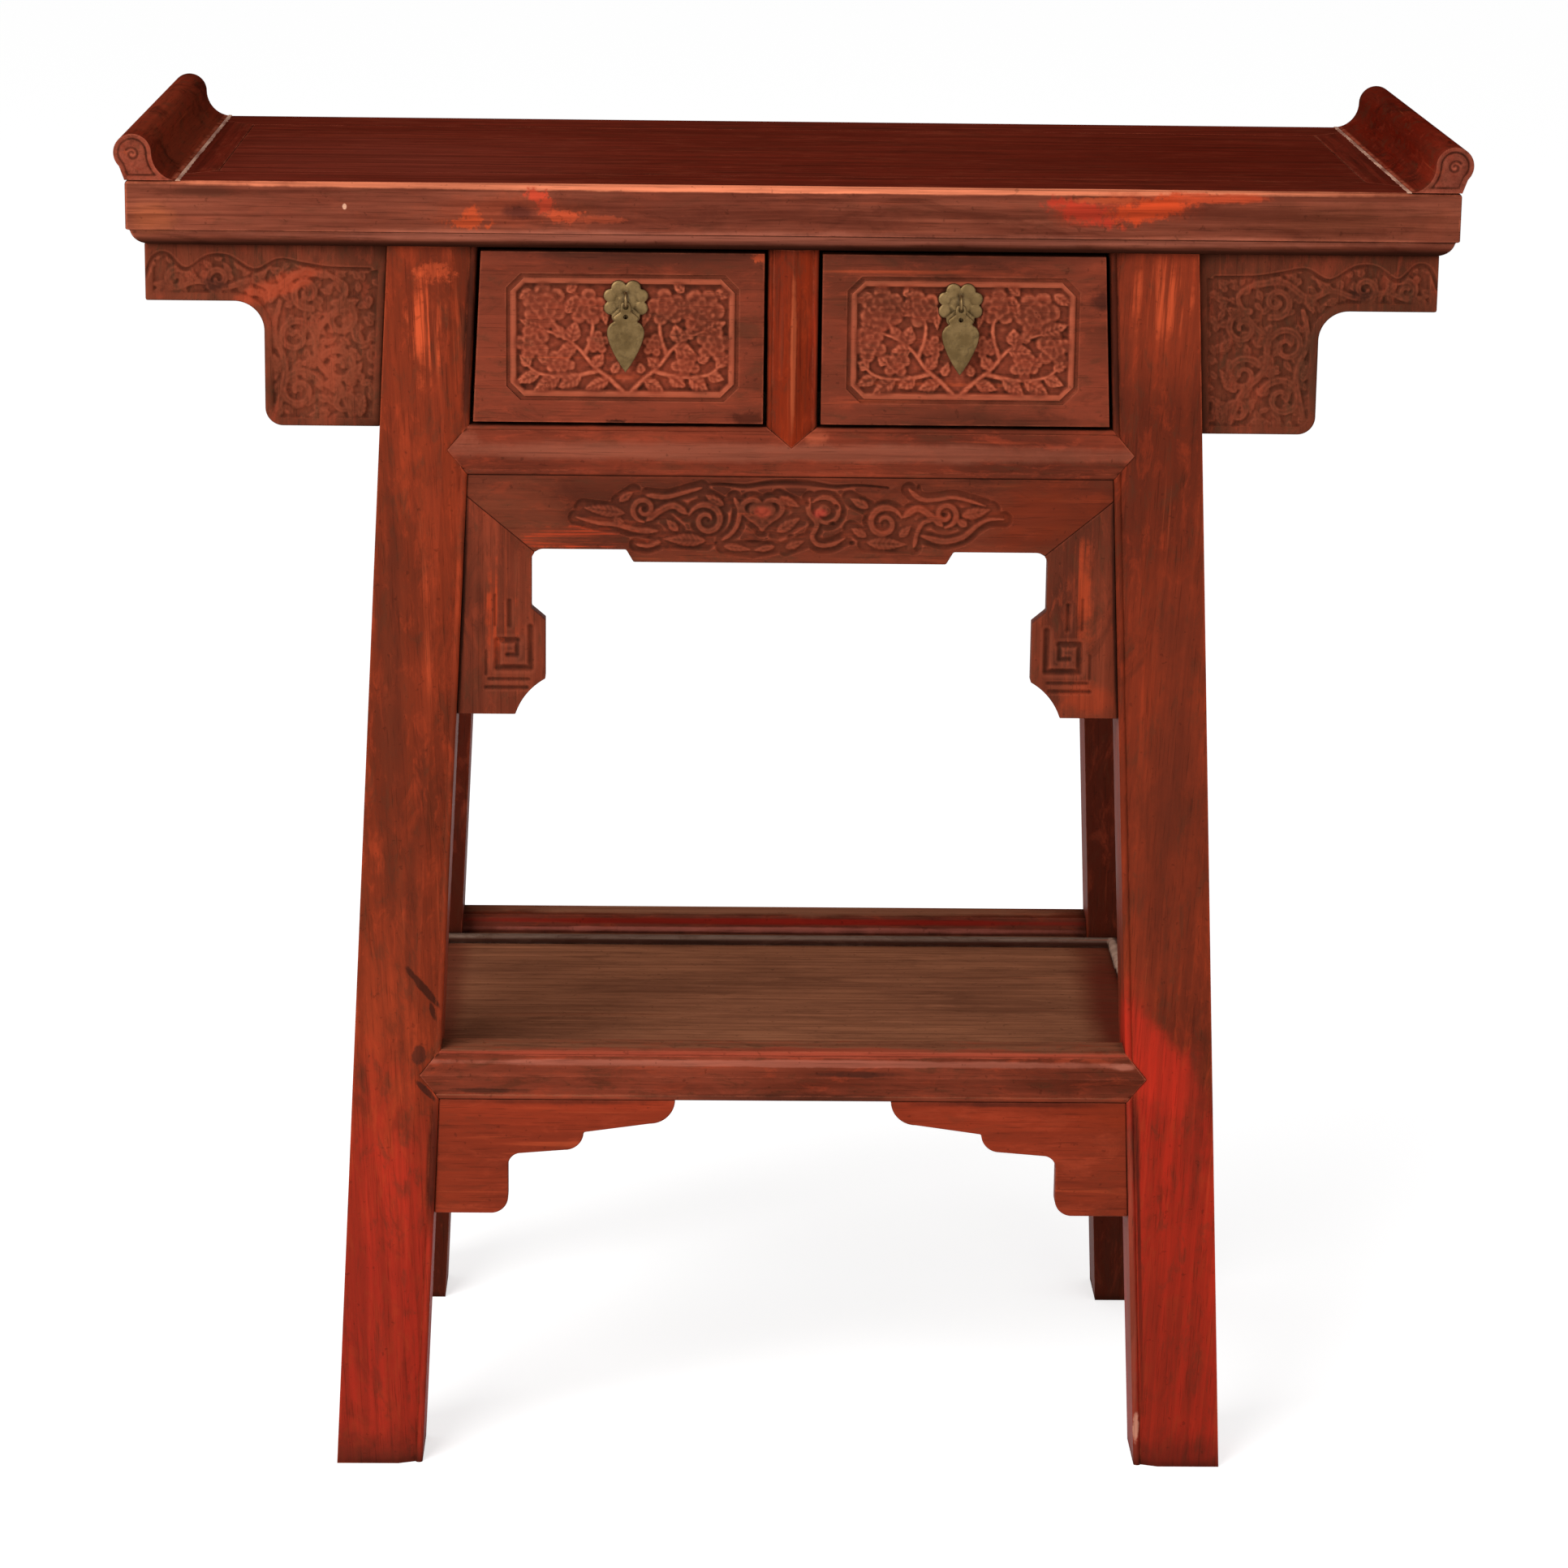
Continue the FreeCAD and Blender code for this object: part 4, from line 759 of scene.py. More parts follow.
def copyOf(node, name, ease):
    # a copy of a frame piece with its edges eased
    shape = joinedShape(node)
    sharp = [edge for edge in shape.edges if edge.is_manifold and edge.calc_face_angle() > easing["angle"]]
    bmesh.ops.bevel(
        shape, geom=sharp, offset=ease, segments=easing["segments"], profile=easing["profile"],
        affect="EDGES", clamp_overlap=True,
    )
    bmesh.ops.triangulate(shape, faces=shape.faces)
    mesh = bpy.data.meshes.new(name)
    shape.to_mesh(mesh)
    shape.free()
    return addObject(name, mesh)


def standFor(obj, node, material):
    obj.data.materials.clear()
    obj.data.materials.append(material)
    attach(obj, bodyOf[node])
    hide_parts(node)


def minus(obj, cutter):
    # takes the cutter out of the piece
    step = obj.modifiers.new("carve", "BOOLEAN")
    step.operation = "DIFFERENCE"
    step.solver = "MANIFOLD"
    step.object = cutter
    bpy.context.view_layer.update()
    ready = obj.evaluated_get(bpy.context.evaluated_depsgraph_get())
    mesh = bpy.data.meshes.new_from_object(ready)
    obj.modifiers.clear()
    obj.data = mesh
    bpy.data.objects.remove(cutter)


def carve(node, name, relief, ease=easing["carvedWidth"]):
    relief.height = soften(relief.height, carving["smoothing"])
    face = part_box(node)[0].y
    obj = copyOf(node, name, ease)
    minus(obj, cutterFor(relief, face))
    mesh = obj.data
    spots = np.zeros(len(mesh.vertices) * 3)
    mesh.vertices.foreach_get("co", spots)
    x, y, z = spots.reshape(-1, 3).T
    inCuts = (y > face + carving["cutsFrom"]) & (y < face + carving["cutsTo"])
    shown = np.minimum(relief.height, 0.0)
    local = soften(shown, carving["blur"])
    sunk = np.clip((local - shown) / carving["cavityDepth"], 0, 1)
    risen = np.clip((shown - local) / carving["raisedHeight"], 0, 1)
    risen = np.where(relief.height > 0, 0, risen)
    for label, values in (("cavity", sunk), ("raisedWearAndHighlight", risen)):
        attribute = mesh.attributes.new(label, "FLOAT", "POINT")
        found = np.where(inCuts, relief.valueAt(x / mm, z / mm, values), 0.0)
        attribute.data.foreach_set("value", found.astype(np.float32))
    smooth(obj, carving["crease"])
    standFor(obj, node, finish[finishFor(node)])
    print("carved", name, "with", len(mesh.polygons), "faces")


# Drawer fronts: a canted frame round a recessed field of flowers on branches

drawerCarving = {
    "marginSide": 17.0, "marginTop": 15.0, "cant": 9.5, "lean": legLean, "pullInset": 3.5, "spare": 3.0,
    "groove": 2.5, "grooveDepth": 1.5, "grooveWall": 1.3, "bead": 3.4, "beadFoot": -1.25, "beadRise": 1.15,
    "lip": -0.2, "lipSlope": 1.2, "rimSlope": 2.0, "ground": -2.2, "crest": 2.1, "marks": 1.1,
    "stemHalf": (2.2, 1.2), "stemCrest": 0.80, "leafStray": 2.5, "leafCrest": (0.7, 0.95),
    "flowerStray": 1.5, "flowerTurn": 6.0, "seeds": {-1: 11, 1: 5},
    "sheet": (79, 73), "foot": 6.0,    # size of the drawing below, on each side of the pull, and its margin
    "stems": (
        ((3, 0), (11, 8), (22, 17), (31, 28), (41, 36), (54, 41)),
        ((19, 14), (31, 11), (44, 10), (58, 12), (66, 18)),
        ((28, 25), (24, 35), (23, 47), (28, 57)),
        ((41, 36), (50, 49), (52, 59)),
    ),
    "flowers": (
        (53, 56, 15.5, 6), (27, 58, 13.0, 5), (63, 32, 12.5, 5), (43, 20, 10.0, 5), (18, 32, 8.0, 5),
    ),
    "leaves": (
        ((30, 11), (44, 2), 5.4), ((44, 10), (60, 1), 5.6), ((57, 12), (72, 7), 4.6),
        ((22, 17), (16, 26), 4.6), ((33, 30), (47, 27), 5.4), ((37, 33), (35, 47), 5.6),
        ((63, 17), (72, 24), 4.2), ((12, 8), (27, 1), 4.6), ((41, 36), (49, 45), 4.4),
        ((54, 41), (72, 46), 5.0), ((40, 67), (32, 73), 3.6), ((62, 68), (73, 62), 4.0),
        ((39, 52), (37, 66), 4.4), ((50, 20), (58, 25), 4.0), ((16, 60), (13, 44), 3.8),
        ((10, 12), (6, 22), 3.4),
    ),
}


def drawerRelief(node, side):
    look = drawerCarving
    low, high = (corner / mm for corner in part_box(node))
    near, far = sorted((abs(low.x), abs(high.x)))
    far -= look["lean"] * (high.z - low.z)
    left, right = sorted((side * (near + look["marginSide"]), side * (far - look["marginSide"])))
    bottom, top = low.z + look["marginTop"], high.z - look["marginTop"]
    cant, spare, crest = look["cant"], look["spare"], look["crest"]
    outline = [
        (left + cant, bottom), (right - cant, bottom), (right, bottom + cant), (right, top - cant),
        (right - cant, top), (left + cant, top), (left, top - cant), (left, bottom + cant),
    ]
    relief = Relief((left - spare, bottom - spare), (right + spare, top + spare), look["ground"])
    middle = (left + right) / 2 - side * look["pullInset"]
    wide, tall = look["sheet"]
    rise = (top - bottom - 2 * look["foot"]) / tall
    leafStray, flowerStray = look["leafStray"], look["flowerStray"]
    chance = np.random.default_rng(look["seeds"][side])
    for hand in (-1, 1):
        reach = (right - middle if hand > 0 else middle - left) / wide

        def at(point):
            return np.array([middle + hand * point[0] * reach, bottom + look["foot"] + point[1] * rise])

        for stem in look["stems"]:
            line = flowing([at(point) for point in stem])
            relief.ribbon(line, tapered(line, *look["stemHalf"]), crest * look["stemCrest"])
        for base, tip, width in look["leaves"]:
            strayed = at(tip) + chance.uniform(-leafStray, leafStray, 2)
            relief.leaf(at(base), strayed, width, crest * chance.uniform(*look["leafCrest"]))
        for x, z, radius, petals in look["flowers"]:
            spot = at((x, z)) + chance.uniform(-flowerStray, flowerStray, 2)
            relief.flower(spot, radius, petals, chance.uniform(0, look["flowerTurn"]), crest)
    relief.chisel(chance, look["marks"])
    inside = insideOf(relief.x, relief.z, outline)
    groove, bead, wall = look["groove"], look["bead"], look["grooveWall"]
    grooveShare = np.clip(wall - np.abs(inside - groove / 2) * 2 * wall / groove, -1, 1)
    grooveLine = -look["grooveDepth"] * grooveShare
    beadShare = np.clip((inside - groove) / bead, 0, 1)
    beadDome = np.sqrt(np.clip(1 - (2 * beadShare - 1) ** 2, 0, 1))
    beadLine = look["beadFoot"] + look["beadRise"] * beadDome
    field = np.maximum(relief.height, look["lip"] - look["lipSlope"] * (inside - groove - bead))
    height = np.where(inside < groove, grooveLine, np.where(inside < groove + bead, beadLine, field))
    relief.height = np.where(inside < 0, np.clip(-look["rimSlope"] * inside, 0, proud), height)
    return relief


# Apron: cloud scrolls and leaves in a sunk ground either side of a heart, with key frets in its drops

apronCarving = {
    "low": (-160, 646), "high": (160, 704), "ground": -1.8, "crest": 1.75, "channel": 1.5, "wall": 4.2,
    "spare": 4.0, "flute": 0.22, "endShare": 0.35, "endSpeed": 5.0, "leafCrest": 0.9, "leafGap": 0.7,
    "pitDepth": 1.4, "lineHalf": (0.8, 1.5), "marks": 0.8, "seed": 17,
    "curls": (    # centre, outer and inner radius, start and turns, half width at both ends
        ((-56.5, 674.5), 12.6, 2.6, 0.45, -1.45, 2.9, 1.7), ((63.5, 673.5), 12.6, 2.6, 0.05, 1.45, 2.9, 1.7),
        ((-99, 682), 9.0, 2.2, 0.75, -1.35, 2.5, 1.5), ((105, 680), 9.0, 2.2, -0.25, 1.35, 2.5, 1.5),
        ((24, 681), 11.0, 6.0, 0.40, -0.95, 2.4, 1.6),
    ),
    "vines": (    # points, half width at both ends
        (((-70, 679), (-79, 684.5), (-88, 681), (-97, 674)), 2.8, 2.6),
        (((77, 678), (86, 684), (95, 679), (103, 672)), 2.8, 2.6),
        (((-46, 661), (-39.5, 666), (-35.5, 673), (-34.5, 682), (-38, 690)), 1.8, 2.2),
        (((13, 690), (12.5, 681), (18, 673), (15, 664), (19, 658.5), (28, 658.5), (37, 663)), 2.3, 1.8),
        (((84, 657), (86, 667), (90, 674), (97, 676)), 2.0, 1.6),
        (((89, 665), (104, 661.5), (117, 664.5), (126, 672), (134, 676.5), (145, 677)), 3.0, 1.2),
        (((-90, 667), (-104, 667.5), (-117, 671), (-130, 672), (-145, 676)), 2.8, 1.2),
        (((-97, 691.5), (-84, 690.5), (-72, 693.5), (-60, 697)), 2.6, 1.4),
        (((80, 697), (88, 690.5), (98, 690), (112, 691.5), (132, 686)), 2.4, 1.4),
        (((-88, 659.5), (-96, 656.5), (-104, 657.5)), 2.0, 1.4),
    ),
    "leaves": (   # foot, tip and half width
        ((-57, 660.5), (-86, 661.5), 4.6), ((52, 660), (80, 659), 4.6), ((-112, 679), (-140, 682.5), 4.4),
        ((116, 679), (136, 683.5), 4.2), ((-9, 667), (7, 677), 4.0), ((-8, 691), (7, 684), 3.4),
        ((-45, 657), (-26, 654.5), 3.0), ((-10, 657), (-25, 654), 2.6), ((-3, 656), (10, 661), 3.2),
        ((53, 684), (40, 690.5), 3.4), ((-45, 685), (-58, 692), 3.4), ((52, 664), (41, 670), 3.2),
        ((74, 664), (82, 672), 3.2), ((-76, 667), (-84, 675), 3.2), ((-116, 687), (-106, 694), 3.0),
        ((120, 672), (112, 676.5), 3.0), ((-120, 675), (-112, 673), 2.6),
    ),
    "pits": (     # centre, reach, turn
        ((-98.5, 682.5), (3.4, 3.0), 8), ((-95, 662.5), (9.5, 2.4), 0), ((-55.5, 674), (3.2, 3.0), 0),
        ((-50, 659), (4.0, 2.6), 30), ((-25, 659.5), (13.0, 2.2), 0), ((11, 687), (2.6, 3.4), 0),
        ((31, 684.5), (3.2, 2.6), -20), ((29, 672.5), (4.6, 3.0), 0), ((41.5, 660), (4.0, 2.4), 0),
        ((62.5, 673), (3.2, 3.0), 0), ((86, 655.5), (3.4, 2.6), 0), ((104, 680), (3.4, 3.0), -15),
        ((86.5, 697.5), (2.6, 4.0), 0), ((0, 664), (4.0, 2.4), 20),
    ),
    "heart": {
        "centre": (-19.0, 679.5), "ring": 0.86, "half": 2.3, "boss": 0.40, "bossHalf": 1.5, "steps": 49,
        "wide": 16, "lobes": (13, -5, -2, -1), "squash": 0.80, "lift": 1.5,
    },
    "boss": ((22.5, 682), 4.6), "bossCrest": 1.1,
    "topLine": (
        (-64, 698.5), (-46, 699.5), (-30, 698.5), (-12, 701), (10, 701), (28, 698.5), (46, 699.5), (66, 698),
    ),
}


def heartLine(look):
    # the usual heart curve, a little flattened
    turn = np.linspace(0, 2 * math.pi, look["steps"])
    tall = sum(size * np.cos(order * turn) for order, size in enumerate(look["lobes"], 1))
    return np.column_stack((look["wide"] * np.sin(turn) ** 3, look["squash"] * tall + look["lift"]))


def apronRelief():
    look = apronCarving
    crest, ground, heart = look["crest"], look["ground"], look["heart"]
    relief = Relief(look["low"], look["high"], ground)
    bands = [(flowing(points), first, last) for points, first, last in look["vines"]]
    for *spiral, first, last in look["curls"]:
        bands.append((curl(*spiral), first, last))
    outline = heartLine(heart)
    bands.append((heart["centre"] + heart["ring"] * outline, heart["half"], heart["half"]))
    for line, first, last in bands:
        along = np.linspace(0, 1, len(line))
        nearEnd = look["endShare"] + look["endSpeed"] * np.minimum(along, 1 - along)
        relief.ribbon(line, tapered(line, first, last) * np.clip(nearEnd, 0, 1), crest, look["flute"])
    for foot, tip, width in look["leaves"]:
        relief.leaf(foot, tip, width, crest * look["leafCrest"])
    bossLine = heart["centre"] + heart["boss"] * outline
    relief.ribbon(bossLine, [heart["half"] * heart["bossHalf"]] * len(bossLine), crest)
    relief.petal(*look["boss"], crest * look["bossCrest"])
    relief.chisel(np.random.default_rng(look["seed"]), look["marks"])
    edges = [(line, (first + last) / 2) for line, first, last in bands]
    for foot, tip, width in look["leaves"]:
        edges.append((np.array((foot, tip), float), look["leafGap"] * width))
    gap = relief.gapFrom(edges, look["channel"] + look["wall"] + look["spare"]) - look["channel"]
    wall = np.clip(gap / look["wall"], 0, 1)
    wall = wall ** 2 * (3 - 2 * wall)
    relief.height = np.maximum(relief.height, ground + (proud - ground) * wall)
    for centre, reach, turn in look["pits"]:
        relief.pit(centre, reach, -ground * look["pitDepth"], turn)
    topLine = flowing(look["topLine"])
    thin, thick = look["lineHalf"]
    relief.incise(topLine, thin + thick * np.sin(np.linspace(0, math.pi, len(topLine))) ** 2, -ground)
    return relief


dropCarving = {
    "depth": 2.0, "width": 2.7,
    # distance from the middle of the table and height of each corner, with a share of the width
    "lines": (
        (((175.6, 600), (175.6, 571.6), (198.3, 571.6), (198.3, 590.6), (184.8, 590.6)), 1.0),
        (((184.8, 590.6), (184.8, 580.5), (191.5, 580.5)), 0.75),
        (((177, 563.6), (204, 563.6)), 0.55), (((178, 557.7), (206, 557.7)), 0.65),
        (((205.8, 567), (205.8, 583)), 0.5), (((190, 601), (190, 618)), 0.75),
        (((199.8, 601), (199.8, 622)), 0.5),
    ),
}


def dropRelief(node, side):
    look = dropCarving
    low, high = (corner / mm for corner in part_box(node))
    relief = Relief(np.subtract((low.x, low.z), faceMargin), np.add((high.x, high.z), faceMargin), proud)
    for points, share in look["lines"]:
        line = np.array([(side * x, z) for x, z in points])
        relief.incise(line, [look["width"] * share] * len(line), look["depth"] * share)
    return relief


# Spandrels: a wavy cloud line along the arm and scrolling leaves in a shallow ground

spandrelCarving = {
    "ground": -1.7, "crest": 1.7, "border": 5.0, "marks": 1.0, "seed": 23,
    "vineHalf": (3.0, 2.0), "vineFlute": 0.25, "curlHalf": (3.1, 1.8), "curlFlute": 0.30,
    "tangle": {"step": 7.5, "crest": 1.15, "stray": 2.5, "length": (7, 11), "half": (2.2, 3.4)},
    "rim": 3.0, "rimSlope": 1.5, "waveFall": 0.8, "waveHalf": 1.6, "waveDepth": 1.9,
    "wave": (
        (433, 836), (427, 849), (418, 851), (406, 841), (391, 849.5), (377, 849.5), (360, 840.5),
        (344, 847.5), (327, 845), (310, 842.5), (283, 842),
    ),
    "curls": (    # centre, outer and inner radius, start and turns
        ((331, 760), 15, 3.0, 0.45, -1.5), ((304, 776), 13, 2.6, 0.10, 1.4),
        ((333, 796), 14, 2.6, 0.55, -1.45), ((303, 808), 12, 2.6, 0.20, 1.35),
        ((325, 826), 11, 2.4, 0.70, 1.3), ((384, 835), 9, 2.2, 0.75, 1.2),
        ((412, 834), 8, 2.0, 0.35, -1.2), ((301, 751), 9, 2.2, 0.60, -1.2),
    ),
    "vines": (
        ((296, 744), (304, 764), (318, 780), (318, 800), (305, 816), (299, 830), (312, 839)),
        ((312, 838), (330, 839), (346, 829), (362, 834), (380, 829), (398, 833), (414, 828), (426, 831)),
        ((346, 745), (340, 775), (347, 800), (343, 820)),
    ),
    "leaves": (
        ((300, 764), (288, 780), 5.0), ((316, 780), (330, 778), 4.8), ((342, 748), (350, 741), 3.6),
        ((318, 800), (322, 812), 4.8), ((306, 814), (290, 822), 5.0), ((346, 832), (350, 818), 4.6),
        ((362, 833), (350, 843), 4.2), ((398, 832), (407, 841), 3.8), ((414, 829), (428, 826), 3.8),
        ((310, 745), (326, 743), 4.2), ((344, 772), (349, 786), 4.0), ((291, 742), (287, 758), 3.8),
        ((330, 838), (318, 845), 4.0), ((366, 828), (356, 824), 3.4), ((288, 792), (296, 802), 4.0),
    ),
}


def spandrelRelief(node, side):
    look = spandrelCarving
    low, high = (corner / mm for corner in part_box(node))
    corners = np.subtract((low.x, low.z), faceMargin), np.add((high.x, high.z), faceMargin)
    relief = Relief(*corners, look["ground"])
    crest, tangle, slope = look["crest"], look["tangle"], look["rimSlope"]

    def at(points):
        return [(side * x, z) for x, z in points]

    for points in look["vines"]:
        line = flowing(at(points))
        relief.ribbon(line, tapered(line, *look["vineHalf"]), crest, look["vineFlute"])
    for spiral in look["curls"]:
        line = curl(*spiral) * (side, 1)
        relief.ribbon(line, tapered(line, *look["curlHalf"]), crest, look["curlFlute"])
    for base, tip, width in look["leaves"]:
        relief.leaf(*at((base, tip)), width, crest)
    chance = np.random.default_rng(look["seed"])
    for x in np.arange(low.x, high.x, tangle["step"]):        # small leaves that fill the ground
        for z in np.arange(low.z, high.z, tangle["step"]):
            base = np.array((x, z)) + chance.uniform(-tangle["stray"], tangle["stray"], 2)
            angle = chance.uniform(0, 2 * math.pi)
            tip = base + chance.uniform(*tangle["length"]) * np.array((math.cos(angle), math.sin(angle)))
            relief.leaf(base, tip, chance.uniform(*tangle["half"]), tangle["crest"])
    relief.chisel(chance, look["marks"])
    wave = np.array(at(flowing(look["wave"])))
    order = np.argsort(wave[:, 0])
    ceiling = np.interp(relief.x, wave[order, 0], wave[order, 1])
    inside = insideOf(relief.x, relief.z, frontOutline(node)) - look["border"]
    inside = np.minimum(inside, (ceiling - relief.z) * look["waveFall"])
    relief.height = np.where(inside < look["rim"], np.maximum(relief.height, -slope * inside), relief.height)
    relief.height = np.where(inside < 0, np.clip(-slope * inside, 0, proud), relief.height)
    relief.incise(wave, [look["waveHalf"]] * len(wave), look["waveDepth"])
    return relief


# Everted ends: a rib round the scroll and a curl inside it

flangeCarving = {
    "rib": 3.4, "ribHalf": 1.2, "ribWall": 1.3, "depth": 1.3, "foot": 899, "curlHalf": 1.1,
    "curl": ((437.5, 920.0), 4.712, 1.2, 0.1, 1.3),    # centre, outer and inner radius, start and turns
}


def flangeRelief(node, side):
    look = flangeCarving
    low, high = (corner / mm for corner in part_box(node))
    relief = Relief((low.x - faceMargin, look["foot"]), (high.x + faceMargin, high.z + faceMargin), proud)
    inside = insideOf(relief.x, relief.z, frontOutline(node))
    wall = look["ribWall"]
    groove = np.clip(wall - wall * np.abs(inside - look["rib"]) / look["ribHalf"], 0, 1)
    relief.height = np.minimum(relief.height, proud - (look["depth"] + proud) * groove)
    line = curl(*look["curl"]) * (side, 1)
    relief.incise(line, [look["curlHalf"]] * len(line), look["depth"])
    return relief


# Materials for the frame's own pieces, with the wear, stains and painted light and shade that the photograph
# shows in each place

def patch(x, y, z, reach, colour, share, ragged, scale, soft=0.3, turn=0, streaked=False, under=False):
    # a spot of wear, stain, painted highlight or painted shade in millimetres, turned by degrees in the front
    # view; one that lies under is laid first
    return {
        "centre": [value * mm for value in (x, y, z)], "reach": [value * mm for value in reach],
        "colour": paint(*colour), "share": share, "ragged": ragged, "scale": scale, "soft": soft,
        "turn": math.radians(turn), "streaked": streaked, "under": under,
    }


